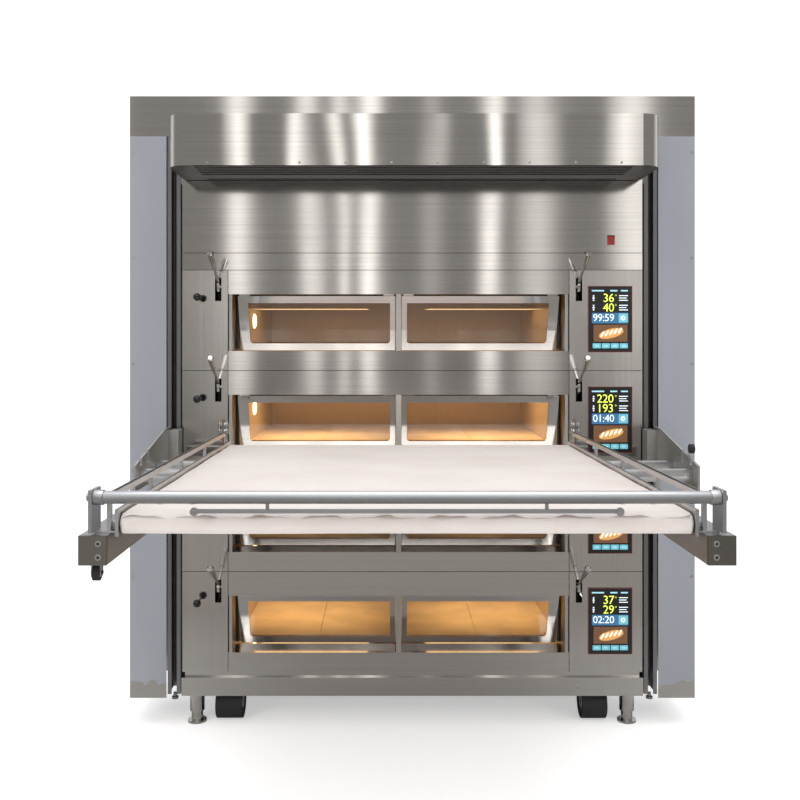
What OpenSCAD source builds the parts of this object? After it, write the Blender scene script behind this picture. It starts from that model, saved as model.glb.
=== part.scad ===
// Four-deck stone hearth oven with a lift loader and a canvas belt setter.
// Millimetres, +Z up, the oven's front faces -Y.
// The origin is on the floor, under the middle of the whole machine's box.

/* [Oven body] */
// Width of the oven body over its side panels
body_w = 1780; // [1600:10:2200]
// Depth of the oven body behind its front plane
body_d = 1500; // [1300:10:1900]
// Height of one deck
deck_pitch = 389; // [389:1:480]
// Height of the plain strip above the top deck
strip_h = 66; // [40:1:120]
// Height of the fascia that carries the main switch
fascia_h = 271; // [160:1:400]
// Width of the service panels left of the doors
service_w = 177; // [150:1:260]
// Thickness of the panel sheet
sheet = 2; // [1.5:0.5:3]
// Depth of the folded edges of the front panels
fold = 12; // [8:1:14]
// Gap between neighbouring panels
seam = 2; // [1:0.5:4]

/* [Base] */
// Height of the plinth's lower edge above the floor
leg_h = 117; // [110:1:160]
// Height of the plinth
plinth_h = 70; // [60:1:110]
// Height of the lip between plinth and lowest deck
lip_h = 19; // [10:1:40]
// Diameter of the levelling leg tube
leg_d = 56; // [40:1:70]
// Diameter of the castor wheels
castor_d = 125; // [100:5:150]
// Width of the castor wheels
castor_w = 34; // [28:1:50]
// Horizontal offset of the castor wheel from its swivel
castor_trail = 38; // [25:1:45]
// Distance of the castor swivels from the machine's middle plane
castor_x = 690; // [500:5:740]

/* [Chambers] */
// Width of one baking chamber and its mouth
chamber_w = 1288; // [1000:4:1400]
// Depth of the chamber's rear wall behind the front plane
chamber_d = 1230; // [900:10:1280]
// Depth of the door recess, in front of the chamber
recess_d = 140; // [130:1:180]
// Thickness of the hearth stones
stone_t = 30; // [15:1:40]
// Drop of the hearth surface below the deck's top seam
hearth_drop = 313; // [305:1:330]
// Drop of the chamber ceiling below the deck's top seam
ceiling_drop = 40; // [30:1:45]
// Height of the gap that holds the lower heating rods
rod_gap = 20; // [16:1:30]
// Diameter of the heating rods
rod_d = 10; // [6:1:14]
// Thickness of the insulation beside and behind the chambers
wool_t = 80; // [50:1:90]

/* [Doors] */
// Lean of a closed door, its lower edge set back
door_tilt = 22; // [16:1:24]
// Drop of the door pivots below the deck's top seam
pivot_drop = 64; // [60:1:68]
// Depth of the door pivots behind the front plane
pivot_back = 25; // [24:1:30]
// Distance from pivot to the door's upper edge
door_top = 34; // [30:1:38]
// Distance from pivot to the door's lower edge
door_end = 262; // [240:1:264]
// Thickness of the door frame
door_t = 20; // [14:1:22]
// Width of the post between the two doors of a deck
post_w = 20; // [16:1:40]
// Width of the jamb plates beside the doors
jamb_w = 12; // [10:1:20]
// Gap between a door and its jamb
door_gap = 17; // [6:1:20]
// Gap between a door and the middle post
post_gap = 3; // [2:0.5:6]
// Width of the door's outer stile
outer_stile = 38; // [25:1:60]
// Width of the door's inner stile
inner_stile = 20; // [15:1:40]
// Height of the door's upper and lower rails
door_rail = 29; // [20:1:40]
// Thickness of the door glass
glass_t = 5; // [4:1:6]
// Diameter of the door shaft
shaft_d = 16; // [12:1:18]
// Radial running clearance of every shaft in its bore
run_gap = 0.05; // [0.02:0.01:0.1]
// Distance of the levers outside the jamb plates
lever_out = 42; // [34:1:50]
// Length of a door lever from its pivot
lever_len = 220; // [180:1:225]
// Rise of a closed door's lever above horizontal
lever_rise = 32; // [25:1:40]

/* [Controls] */
// Width of a touch screen's bezel
screen_w = 170; // [120:1:190]
// Height of a touch screen's bezel
screen_h = 256; // [180:1:270]
// Drop of the screen's middle below the deck's top seam
screen_drop = 190; // [150:1:200]
// Diameter of the steam damper's ball knob
knob_d = 30; // [22:1:40]
// Distance that a damper rod pulls out
knob_travel = 50; // [20:1:60]
// Width of the main switch's rocker
switch_w = 28; // [20:1:36]
// Height of the main switch's rocker
switch_h = 36; // [26:1:44]

/* [Hood and gantry] */
// Projection of the extraction hood in front of the oven
hood_d = 300; // [200:5:340]
// Height of the extraction hood
hood_h = 184; // [120:1:200]
// Radius of the hood's front corners
hood_r = 70; // [30:1:90]
// Height of the space between oven roof and lintel
lintel_gap = 178; // [160:1:200]
// Height of the lintel
lintel_h = 155; // [140:1:200]
// Depth of the lintel and side covers
cover_d = 300; // [240:1:400]
// Width of one side cover
cover_w = 141; // [120:1:200]
// Width of one guide column
column_w = 50; // [44:1:60]
// Depth of one guide column
column_d = 90; // [80:1:92]
// Wall of the guide columns
column_t = 4; // [3:0.5:6]
// Gap on each side of a guide column
column_gap = 4.5; // [3:0.5:10]
// Height of the covers' lower edge above the floor
cover_z = 110; // [60:1:200]
// Pitch radius of the lift chain wheels
chain_r = 50; // [48:1:54]
// Length of one counterweight
weight_l = 620; // [300:10:800]

/* [Loader] */
// Distance of the loader's front end before the oven
reach = 1600; // [1400:10:1800]
// Distance of the belt's nose before the oven
nose_out = 165; // [150:1:200]
// Height of the belt's top above the hearth it serves
belt_over = 44; // [38:1:60]
// Width of the canvas belt
belt_w = 1240; // [900:10:1250]
// Thickness of the canvas belt's solid
belt_t = 2; // [1:0.5:3]
// Diameter of the front roller
roller_d = 40; // [30:1:44]
// Diameter of the nose roller
nose_d = 16; // [12:1:20]
// Clearance between belt and rollers
belt_gap = 0.4; // [0.3:0.1:1]
// Width of one longitudinal beam
beam_w = 60; // [40:1:60]
// Height of one longitudinal beam
beam_h = 63; // [50:1:64]
// Wall of the longitudinal beams
beam_t = 4; // [3:0.5:6]
// Side of the square cross bars
bar_s = 40; // [30:1:45]
// Thickness of the loader's side gussets
gusset_t = 8; // [6:1:12]
// Depth of the loader's side gussets
gusset_d = 510; // [480:5:560]
// Diameter of the handle tube
handle_d = 28; // [24:1:36]
// Height of the handle's axis above the belt's top
handle_up = 41; // [36:1:60]
// Travel of the release bar under the handle
release_travel = 6; // [3:0.5:6]

/* [Hidden] */
$fn = 48;

decks = 4;
slit = 0.5;
eps = 1;
half_w = body_w / 2;
front_y = (reach - body_d) / 2;
stack_z = leg_h + plinth_h + lip_h;
stack_top = stack_z + decks * deck_pitch;
roof_z = stack_top + strip_h + fascia_h;
mouth = chamber_w / 2;
header = mouth + jamb_w + 2 * seam;
door_x = service_w + header - half_w;
lever_x = mouth + jamb_w + lever_out;
floor_drop = hearth_drop + stone_t + rod_gap;

column_x = half_w + column_gap + column_w / 2;
cover_in = column_x + column_w / 2 + column_gap;
cover_out = cover_in + cover_w;
cover_y = -10;
lintel_z = roof_z + lintel_gap;
shaft_y = cover_y + column_d + 8;
shaft_z = lintel_z + 76;
column_z = cover_z + 15;
idler_z = column_z + 60;

served = 1;
belt_z = deck_z(served) - hearth_drop + belt_over;
roller_y = 59 - reach;
roller_z = belt_z - belt_t - roller_d / 2 - belt_gap;
nose_y = -nose_out - nose_d / 2 - belt_gap - belt_t;
nose_z = belt_z - belt_t - nose_d / 2 - belt_gap;
cheek_t = 8;
cheek_x = belt_w / 2 + 4;
beam_in = cheek_x + cheek_t + 8;
beam_top = belt_z - 38;
beam_z = beam_top - beam_h;
beam_back = -(lever_len - pivot_back) - 20;
plate_t = 8;
rail_x = cheek_x + cheek_t + 9;
handle_y = 20 - reach;
handle_z = belt_z + handle_up;
bar_y = [-248, -462];
carriage_z = beam_z - 14;
carriage_h = 160;
box_front = -78;

// Height of the top seam of deck k, counted from 0 at the top
function deck_z(k) = stack_top - k * deck_pitch;

// A box between two opposite corners, in the frame of the oven's front plane
module block(a, b) {
  translate([a[0], front_y + a[1], a[2]])
    cube([b[0] - a[0], b[1] - a[1], b[2] - a[2]]);
}

// The same box on both sides of the machine's middle plane
module block_pair(a, b) {
  block(a, b);
  mirror([1, 0, 0]) block(a, b);
}

// A rod along X between x0 and x1, at depth y and height z
module rod_x(r, x0, x1, y, z) {
  translate([x0, front_y + y, z]) rotate([0, 90, 0]) cylinder(r = r, h = x1 - x0);
}

// A rod along Y between y0 and y1
module rod_y(r, x, y0, y1, z) {
  translate([x, front_y + y0, z]) rotate([-90, 0, 0]) cylinder(r = r, h = y1 - y0);
}

// A rod along Z between z0 and z1
module rod_z(r, x, y, z0, z1) {
  translate([x, front_y + y, z0]) cylinder(r = r, h = z1 - z0);
}

/* ---------- base ---------- */

castor_y = castor_trail + castor_d / 2 + sheet + 8;
castor_back = body_d - castor_y;
castor_r = castor_d / 2;
castor_z = castor_r + 1;
crown_z = castor_d + 6;
castor_yaw = [-42, 36];
plinth_top = leg_h + plinth_h;
plinth_over = 2;
skin = 6;
pad_z = plinth_top - 16;
axle_r = 6;
stem_r = 10;
leg_x = half_w - 49;
leg_y = 46;

module at_castor(x, y, yaw = 0) translate([x, front_y + y, 0]) rotate([0, 0, yaw]) children();

module base_frame() color("silver") {
  w = half_w + plinth_over;
  difference() {
    block([-w, -8, leg_h], [w, body_d, plinth_top]);
    block([sheet - w, sheet - 8, leg_h - eps], [w - sheet, body_d - sheet, plinth_top - skin]);
  }
  difference() {
    block([12 - w, 6, plinth_top], [w - 12, body_d - 12, stack_z]);
    block([70 - w, 64, plinth_top - eps], [w - 70, body_d - 70, stack_z + eps]);
  }
  for (s = [-1, 1]) for (y = [castor_y, castor_back]) at_castor(s * castor_x, y)
    difference() {
      translate([0, 0, pad_z]) cylinder(r = 40, h = plinth_top - skin - pad_z);
      translate([0, 0, pad_z - eps]) cylinder(r = stem_r + run_gap, h = 9 + eps);
    }
}

module leg(x, y) {
  rod_z(leg_d / 2 + 8, x, y, plinth_top - 40, plinth_top - skin);
  rod_z(leg_d / 2, x, y, 44, plinth_top - 40);
  rod_z(leg_d / 2 - 6, x, y, 8, 44);
  difference() {
    rod_z(leg_d / 2 + 8, x, y, 0, 8);
    for (a = [0 : 60 : 359])
      rod_z(2.5, x + (leg_d / 2 + 2) * cos(a), y + (leg_d / 2 + 2) * sin(a), -eps, 8 + eps);
  }
}

module legs() color("silver")
  for (s = [-1, 1]) for (y = [leg_y, body_d - 60]) leg(s * leg_x, y);

// A castor fork with its axle, trailing towards -Y, its column ending at height top
module castor_fork(top) {
  gap = castor_w / 2 + 2;
  translate([-gap - 4, -castor_trail - 16, crown_z]) cube([2 * gap + 8, castor_trail + 40, 6]);
  for (x = [-gap - 4, gap]) translate([x, -castor_trail - 16, castor_z - 14])
    cube([4, 32, crown_z - castor_z + 14]);
  translate([-gap - 9, -castor_trail, castor_z]) rotate([0, 90, 0]) cylinder(r = axle_r, h = 2 * gap + 18);
  translate([0, 0, crown_z + 6]) cylinder(r = 22, h = top - crown_z - 6);
  translate([0, 0, top]) cylinder(r = stem_r, h = pad_z + 8 - top);
}

// A castor wheel for the same fork
module castor_wheel() {
  translate([-castor_w / 2, -castor_trail, castor_z]) rotate([0, 90, 0])
    difference() {
      union() {
        cylinder(r1 = castor_r - 4, r2 = castor_r, h = 4);
        translate([0, 0, 4]) cylinder(r = castor_r, h = castor_w - 8);
        translate([0, 0, castor_w - 4]) cylinder(r1 = castor_r, r2 = castor_r - 4, h = 4);
      }
      translate([0, 0, -eps]) cylinder(r = axle_r + run_gap, h = castor_w + 2 * eps);
      for (z = [-eps, castor_w - 7]) translate([0, 0, z]) difference() {
        cylinder(r = castor_r - 20, h = 7 + eps);
        translate([0, 0, -eps]) cylinder(r = 16, h = 9 + 2 * eps);
      }
    }
}

module at_front_castor(i) at_castor((i == 0 ? -1 : 1) * castor_x, castor_y, castor_yaw[i]) children();

module front_fork_left() color("gray") at_front_castor(0) castor_fork(pad_z - 0.5);
module front_fork_right() color("gray") at_front_castor(1) castor_fork(pad_z - 0.5);
module front_wheel_left() color("dimgray") at_front_castor(0) castor_wheel();
module front_wheel_right() color("dimgray") at_front_castor(1) castor_wheel();

module rear_castor_forks() color("gray")
  for (s = [-1, 1]) at_castor(s * castor_x, castor_back) castor_fork(pad_z);

module rear_wheels() color("dimgray")
  for (s = [-1, 1]) at_castor(s * castor_x, castor_back) castor_wheel();

/* ---------- casing and chambers ---------- */

spigot_r = 100;
spigot_h = 80;
spigot_y = body_d - 200;

module outer_casing() color("silver") {
  for (s = [-1, 1]) block([s > 0 ? half_w - sheet : -half_w, fold + 4, stack_z],
    [s > 0 ? half_w : sheet - half_w, body_d, roof_z - sheet - slit]);
  block([sheet + slit - half_w, body_d - sheet, stack_z],
    [half_w - sheet - slit, body_d, roof_z - sheet - slit]);
  difference() {
    block([-half_w, sheet + slit, roof_z - sheet], [half_w, body_d, roof_z]);
    rod_z(spigot_r + slit, 0, spigot_y, roof_z - sheet - eps, roof_z + eps);
  }
  difference() {
    rod_z(spigot_r, 0, spigot_y, roof_z - sheet, roof_z + spigot_h);
    rod_z(spigot_r - sheet, 0, spigot_y, roof_z - sheet - eps, roof_z + spigot_h + eps);
  }
}

wool_l = door_x - mouth - sheet - wool_t;
wool_r = door_x + mouth + sheet + wool_t;
wool_front = recess_d + sheet;
wool_back = chamber_d + sheet + wool_t;

module insulation() color("khaki") {
  for (k = [0 : decks]) {
    low = k == decks ? stack_z : deck_z(k) - ceiling_drop + sheet;
    high = k == 0 ? stack_top + wool_t : deck_z(k - 1) - floor_drop - sheet;
    block([wool_l, wool_front, low], [wool_r, wool_back, high]);
  }
  for (k = [0 : decks - 1]) {
    low = deck_z(k) - floor_drop - sheet + slit;
    high = deck_z(k) - ceiling_drop + sheet - slit;
    block([wool_l, wool_front, low], [door_x - mouth - sheet, wool_back, high]);
    block([door_x + mouth + sheet, wool_front, low], [wool_r, wool_back, high]);
    block([door_x - mouth - sheet + slit, chamber_d + sheet, low],
      [door_x + mouth + sheet - slit, wool_back, high]);
  }
}

module chambers() color("tan")
  for (k = [0 : decks - 1]) {
    low = deck_z(k) - floor_drop;
    high = deck_z(k) - ceiling_drop;
    difference() {
      block([door_x - mouth - sheet, recess_d + sheet, low - sheet],
        [door_x + mouth + sheet, chamber_d + sheet, high + sheet]);
      block([door_x - mouth, recess_d - eps, low], [door_x + mouth, chamber_d, high]);
    }
    for (x = [-2 : 2]) block([door_x + x * mouth / 2 * 0.98 - 6, recess_d + 10, low],
      [door_x + x * mouth / 2 * 0.98 + 6, chamber_d - 10, low + rod_gap]);
  }

stones_across = 4;

module hearth_stones() color("wheat")
  for (k = [0 : decks - 1]) for (i = [0 : stones_across - 1]) for (j = [0, 1]) {
    w = chamber_w / stones_across;
    d = (chamber_d - recess_d - sheet) / 2;
    block([door_x - mouth + i * w + 1, recess_d + sheet + j * d + 1, deck_z(k) - hearth_drop - stone_t],
      [door_x - mouth + (i + 1) * w - 1, recess_d + sheet + (j + 1) * d - 1, deck_z(k) - hearth_drop]);
  }

rods_across = 6;
rod_front = pivot_back + door_end + 40;

module heating_rods() color("dimgray")
  for (k = [0 : decks - 1]) for (i = [0 : rods_across - 1]) {
    x = door_x + (i - (rods_across - 1) / 2) * chamber_w / (rods_across + 1);
    rod_y(rod_d / 2, x, rod_front, chamber_d, deck_z(k) - ceiling_drop - rod_d / 2 - 6);
    rod_y(rod_d / 2, x, recess_d + 30, chamber_d, deck_z(k) - floor_drop + rod_gap / 2);
  }

lamp_y = 578;
lamp_drop = 182;
lamp_r = 32;

module chamber_lamps() color("lightyellow")
  for (k = [0 : decks - 1]) {
    z = deck_z(k) - lamp_drop;
    rod_x(lamp_r, door_x - mouth, door_x - mouth + 5, lamp_y, z);
    rod_x(lamp_r - 7, door_x - mouth + 5, door_x - mouth + 9, lamp_y, z);
  }

/* ---------- front sheets ---------- */

head_h = pivot_drop + door_top * cos(door_tilt) - 2;
sill_z = -hearth_drop;

module deck_fascias() color("silver")
  for (k = [0 : decks - 1]) {
    top = deck_z(k);
    block([door_x - header + seam / 2, 0, top - head_h], [door_x + header - seam / 2, sheet, top - seam / 2]);
    block([door_x - header + seam / 2, sheet, top - seam / 2 - sheet],
      [door_x + header - seam / 2, recess_d, top - seam / 2]);
    block([door_x - header + seam / 2, 0, top - deck_pitch + seam / 2],
      [door_x + header - seam / 2, sheet, top + sill_z]);
    block([door_x - header + seam / 2, sheet, top + sill_z - sheet],
      [door_x + header - seam / 2, recess_d, top + sill_z]);
    block([door_x - header + seam / 2, 0, top - deck_pitch + seam / 2],
      [door_x + header - seam / 2, 40, top - deck_pitch + seam / 2 + sheet]);
  }

module door_jambs() color("silver")
  for (k = [0 : decks - 1]) {
    top = deck_z(k);
    low = top + sill_z;
    high = top - seam / 2 - sheet;
    for (s = [-1, 1]) difference() {
      union() {
        block([door_x + s * (mouth + jamb_w / 2) - jamb_w / 2, sheet, low],
          [door_x + s * (mouth + jamb_w / 2) + jamb_w / 2, recess_d, high]);
        block([door_x + s * (mouth + jamb_w / 2) - jamb_w / 2, 0, low],
          [door_x + s * (mouth + jamb_w / 2) + jamb_w / 2, sheet, top - head_h]);
      }
      rod_x(shaft_d / 2 + run_gap, door_x + s * mouth - 2 * jamb_w, door_x + s * mouth + 2 * jamb_w,
        pivot_back, top - pivot_drop);
    }
    difference() {
      union() {
        block([door_x - post_w / 2, sheet, top - head_h], [door_x + post_w / 2, pivot_back + 24, high]);
        block([door_x - post_w / 2, 0, low], [door_x + post_w / 2, pivot_back + 24, top - head_h]);
      }
      for (s = [0, 1]) mirror([s, 0, 0]) rod_x(shaft_d / 2 + run_gap,
        (s == 0 ? door_x : -door_x) + post_w / 2 - 7, (s == 0 ? door_x : -door_x) + post_w, pivot_back,
        top - pivot_drop);
    }
  }

slot_w = 25;
slot_z = [-120, -31];
damper_x = half_w - 69;
damper_drop = 107;
damper_r = 4;

// A folded panel, open at its back, between x0 and x1 and between z0 and z1
module pan(x0, x1, z0, z1) {
  difference() {
    block([x0, 0, z0], [x1, fold, z1]);
    block([x0 + sheet, sheet, z0 + sheet], [x1 - sheet, fold + eps, z1 - sheet]);
  }
}

module front_panels() color("silver")
  for (k = [0 : decks - 1]) {
    low = deck_z(k + 1) + seam / 2;
    high = deck_z(k) - seam / 2;
    difference() {
      pan(-half_w, door_x - header - seam / 2, low, high);
      block([door_x - lever_x - slot_w / 2, -eps, deck_z(k) + slot_z[0]],
        [door_x - lever_x + slot_w / 2, sheet + eps, deck_z(k) + slot_z[1]]);
      rod_y(damper_r + run_gap, -damper_x, -eps, sheet + eps, deck_z(k) - damper_drop);
    }
    difference() {
      pan(door_x + header + seam / 2, half_w, low, high);
      block([door_x + lever_x - slot_w / 2, -eps, deck_z(k) + slot_z[0]],
        [door_x + lever_x + slot_w / 2, sheet + eps, deck_z(k) + slot_z[1]]);
      block([screen_x - screen_w / 2 + 10, -eps, deck_z(k) - screen_drop - screen_h / 2 + 10],
        [screen_x + screen_w / 2 - 10, sheet + eps, deck_z(k) - screen_drop + screen_h / 2 - 10]);
    }
  }

screen_x = half_w - screen_w / 2 - 40;
bezel_t = 5;

module screens() color("black")
  for (k = [0 : decks - 1]) {
    z = deck_z(k) - screen_drop;
    block([screen_x - screen_w / 2, -bezel_t, z - screen_h / 2],
      [screen_x + screen_w / 2, 0, z + screen_h / 2]);
    block([screen_x - screen_w / 2 + 11, 0, z - screen_h / 2 + 11],
      [screen_x + screen_w / 2 - 11, 30, z + screen_h / 2 - 11]);
  }

switch_x = half_w - 121;
switch_z = stack_top + strip_h + 50;
switch_y = 8;

module top_fascia() color("silver") {
  block([-half_w, 0, stack_top + seam / 2], [half_w, sheet, stack_top + strip_h - seam / 2]);
  difference() {
    block([-half_w, 0, stack_top + strip_h + seam / 2], [half_w, sheet, lintel_z]);
    block([switch_x - switch_w / 2 - 0.5, -eps, switch_z - switch_h / 2 - 0.5],
      [switch_x + switch_w / 2 + 0.5, sheet + eps, switch_z + switch_h / 2 + 0.5]);
  }
  difference() {
    block([switch_x - switch_w / 2 - 6, sheet, switch_z - 12],
      [switch_x + switch_w / 2 + 6, 22, switch_z + 12]);
    block([switch_x - switch_w / 2 - 0.5, sheet - eps, switch_z - 13],
      [switch_x + switch_w / 2 + 0.5, 20, switch_z + 13]);
    rod_x(2 + run_gap, switch_x - switch_w, switch_x + switch_w, switch_y, switch_z);
  }
}

rocker_tilt = 9;

module power_switch() color("firebrick")
  translate([switch_x, front_y + switch_y, switch_z]) rotate([rocker_tilt, 0, 0]) {
    rotate([0, 90, 0]) translate([0, 0, -switch_w / 2 - 5]) cylinder(r = 2, h = switch_w + 10);
    rotate([90, 0, 90]) translate([0, 0, -switch_w / 2]) linear_extrude(switch_w)
      polygon([[4, -6], [4, 6], [-6, switch_h / 2 - 2], [-11, switch_h / 2 - 2], [-9, 0],
        [-11, 2 - switch_h / 2], [-6, 2 - switch_h / 2]]);
  }

/* ---------- hood and gantry ---------- */

hood_z = roof_z + 10;
hood_w = half_w - 9;

// The hood's plan, inset by the distance given, with two rounded front corners
module hood_plan(inset) {
  r = hood_r - inset;
  w = hood_w - inset;
  translate([-w, r - hood_d + inset]) square([2 * w, hood_d + cover_y - r - 2 * inset]);
  translate([r - w, inset - hood_d]) square([2 * w - 2 * r, r]);
  for (s = [-1, 1]) translate([s * (w - r), inset - hood_d + r]) circle(r = r);
}

module hood() color("silver") translate([0, front_y, hood_z])
  difference() {
    linear_extrude(hood_h) hood_plan(0);
    translate([0, 0, -eps]) linear_extrude(hood_h - sheet + eps) hood_plan(sheet);
  }

slats = 6;

module hood_slats() color("dimgray") {
  span = hood_d - 2 * hood_r * 0.3 + cover_y;
  difference() {
    intersection() {
      translate([0, front_y, hood_z + 12]) linear_extrude(2) hood_plan(sheet);
      block([-half_w, -hood_d, hood_z], [half_w, 0, hood_z + hood_h]);
    }
    for (i = [1 : slats - 1]) block([80 - hood_w, 20 - hood_d + i * span / slats, hood_z],
      [hood_w - 80, 40 - hood_d + i * span / slats, hood_z + 20]);
  }
}

slot_chain = [column_x - 10, column_x + 10];

module lintel() color("silver") {
  y1 = cover_y + cover_d;
  top = lintel_z + lintel_h;
  block([-cover_out, cover_y, lintel_z], [cover_out, cover_y + sheet, top]);
  block([-cover_out, cover_y + sheet, top - sheet], [cover_out, y1, top]);
  difference() {
    block([-cover_out, cover_y + sheet, lintel_z], [cover_out, y1, lintel_z + sheet]);
    block_pair([slot_chain[0], shaft_y - chain_r - 14, lintel_z - eps],
      [slot_chain[1], shaft_y + chain_r + 14, lintel_z + sheet + eps]);
  }
  for (s = [-1, 1]) for (x = [column_x - 60, column_x + 60]) difference() {
    block([s * x - 8, shaft_y - 30, lintel_z + sheet], [s * x + 8, shaft_y + 30, shaft_z + 30]);
    rod_x(15 + run_gap, s * x - 10, s * x + 10, shaft_y, shaft_z);
  }
}

module lift_shaft() color("gray") {
  rod_x(15, -column_x - 75, column_x + 75, shaft_y, shaft_z);
  for (s = [-1, 1]) {
    rod_x(chain_r - 4.4, s * column_x - 4, s * column_x + 4, shaft_y, shaft_z);
    rod_x(26, s * column_x - 12, s * column_x + 12, shaft_y, shaft_z);
  }
}

// Half a ring of chain round a wheel, its ends at height z, over it for s = 1 or under it for s = -1
module chain_bend(x, z, s) difference() {
  rod_x(chain_r + 4, x - 5, x + 5, shaft_y, z);
  rod_x(chain_r - 4, x - 6, x + 6, shaft_y, z);
  block([x - 7, shaft_y - 2 * chain_r, z + (s > 0 ? -2 * chain_r : 0)],
    [x + 7, shaft_y + 2 * chain_r, z + (s > 0 ? 0 : 2 * chain_r)]);
}

module lift_chains() color("dimgray")
  for (s = [-1, 1]) {
    for (y = [-chain_r, chain_r]) block([s * column_x - 5, shaft_y + y - 4, idler_z],
      [s * column_x + 5, shaft_y + y + 4, shaft_z]);
    chain_bend(s * column_x, shaft_z, 1);
    chain_bend(s * column_x, idler_z, -1);
  }

module lift_columns() color("dimgray")
  for (s = [-1, 1]) {
    x0 = s * column_x - column_w / 2;
    x1 = s * column_x + column_w / 2;
    y1 = cover_y + column_d;
    difference() {
      block([x0, cover_y, column_z], [x1, y1, lintel_z]);
      block([x0 + column_t, cover_y + column_t, column_z - eps],
        [x1 - column_t, y1 - column_t, lintel_z + eps]);
      block([s * column_x - 10, cover_y - eps, column_z - eps],
        [s * column_x + 10, cover_y + 9, lintel_z + eps]);
      block([s * column_x - 10, y1 - 9, column_z - eps],
        [s * column_x + 10, y1 + eps, idler_z]);
    }
    for (z = [stack_z + 20, lintel_z - 80]) {
      block([s * column_x - s * (column_w / 2) - (s > 0 ? column_gap : 0), y1 - 40, z],
        [s * column_x - s * (column_w / 2) + (s > 0 ? 0 : column_gap), y1 - 20, z + 40]);
      block([s * column_x + s * (column_w / 2) - (s > 0 ? 0 : column_gap), y1 - 40, z],
        [s * column_x + s * (column_w / 2) + (s > 0 ? column_gap : 0), y1 - 20, z + 40]);
    }
    rod_z(7, s * column_x, cover_y + 20, cover_z, column_z);
    rod_z(13, s * column_x, cover_y + 20, cover_z - 8, cover_z);
  }

module side_covers() color("lightsteelblue")
  for (s = [0, 1]) mirror([s, 0, 0]) difference() {
    block([cover_in, cover_y, cover_z], [cover_out, cover_y + cover_d, lintel_z]);
    block([cover_in - eps, cover_y + sheet, cover_z - eps],
      [cover_out - sheet, cover_y + cover_d - sheet, lintel_z + eps]);
  }

weight_z = idler_z + 500;
weight_y = shaft_y + chain_r;

module counterweights() color("dimgray")
  for (s = [0, 1]) mirror([s, 0, 0]) difference() {
    block([half_w + 8, weight_y - 38, weight_z], [cover_out - 30, weight_y + 50, weight_z + weight_l]);
    block([column_x - 9, weight_y - 9, weight_z - eps],
      [column_x + 9, weight_y + 9, weight_z + weight_l + eps]);
  }

/* ---------- lift carriage ---------- */

gusset_x = column_x + 6;
guide_w = column_w - 2 * column_t - 2;
guide_h = 40;

module gusset_plate() {
  back = cover_y - 12;
  front = -gusset_d - 20;
  top = carriage_z + carriage_h + 10;
  rotate([90, 0, 90]) linear_extrude(gusset_t) difference() {
    polygon([[back, carriage_z], [back, top], [back - 90, top], [front, top - 85], [front, carriage_z + 5],
      [front + 30, carriage_z]]);
    for (y = [front + 60, front + 150]) translate([y, beam_top + 8]) {
      square([16, 44]);
      for (z = [0, 44]) translate([8, z]) circle(r = 8);
    }
    for (y = [front + 110, front + 200]) translate([y, beam_top + 18]) circle(r = 4);
  }
}

module carriage() color("silver")
  for (s = [-1, 1]) {
    cx = s * column_x;
    difference() {
      block([cx - 32, box_front, carriage_z], [cx + 32, cover_y - 2, carriage_z + carriage_h]);
      block([cx - 28, box_front + 4, carriage_z - eps],
        [cx + 28, cover_y - 6, carriage_z + carriage_h + eps]);
      block([s > 0 ? gusset_x - 0.01 : -gusset_x - gusset_t, box_front - eps, carriage_z - eps],
        [s > 0 ? gusset_x + gusset_t : 0.01 - gusset_x, cover_y, carriage_z + carriage_h + eps]);
    }
    translate([s > 0 ? gusset_x : -gusset_x - gusset_t, front_y, 0]) gusset_plate();
    for (z = [carriage_z + 4, carriage_z + carriage_h - guide_h - 4]) {
      block([cx - 8, cover_y - 2, z], [cx + 8, cover_y + column_t + 1, z + guide_h]);
      difference() {
        block([cx - guide_w / 2, cover_y + column_t + 1, z],
          [cx + guide_w / 2, shaft_y - chain_r + 16, z + guide_h]);
        block([cx - 8, shaft_y - chain_r - 8, z - eps], [cx + 8, shaft_y - chain_r + 8, z + guide_h + eps]);
      }
    }
  }

module cross_bars() color("lightgray")
  for (y = bar_y) {
    z = beam_top - bar_s - 12;
    block([-gusset_x, y - bar_s / 2, z], [door_x - beam_in - beam_w, y + bar_s / 2, z + bar_s]);
    block([door_x - beam_in, y - bar_s / 2, z], [door_x + beam_in, y + bar_s / 2, z + bar_s]);
    block([door_x + beam_in + beam_w, y - bar_s / 2, z], [gusset_x, y + bar_s / 2, z + bar_s]);
  }

wheel_r = 18;
wheel_w = 14;
wheel_y = 34 - reach;
wheel_z = beam_z - wheel_r - 4;
wheel_x = door_x - beam_in - beam_w / 2;

module loader_beams() color("lightgray") {
  for (s = [-1, 1]) {
    x0 = door_x + (s > 0 ? beam_in : -beam_in - beam_w);
    difference() {
      block([x0, plate_t - reach, beam_z], [x0 + beam_w, beam_back, beam_top]);
      block([x0 + beam_t, plate_t - reach - eps, beam_z + beam_t],
        [x0 + beam_w - beam_t, beam_back + eps, beam_top - beam_t]);
    }
    block([x0, -reach, beam_z], [x0 + beam_w, plate_t - reach, beam_top]);
  }
  for (s = [-1, 1]) difference() {
    block([wheel_x + s * (wheel_w / 2 + 2.5) - 1.5, wheel_y - 8, wheel_z - 8],
      [wheel_x + s * (wheel_w / 2 + 2.5) + 1.5, wheel_y + 8, beam_z]);
    rod_x(4 + run_gap, wheel_x - 20, wheel_x + 20, wheel_y, wheel_z);
  }
}

module support_wheel() color("dimgray") {
  rod_x(wheel_r, wheel_x - wheel_w / 2, wheel_x + wheel_w / 2, wheel_y, wheel_z);
  rod_x(4, wheel_x - wheel_w / 2 - 6, wheel_x + wheel_w / 2 + 6, wheel_y, wheel_z);
}

/* ---------- setter ---------- */

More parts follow.
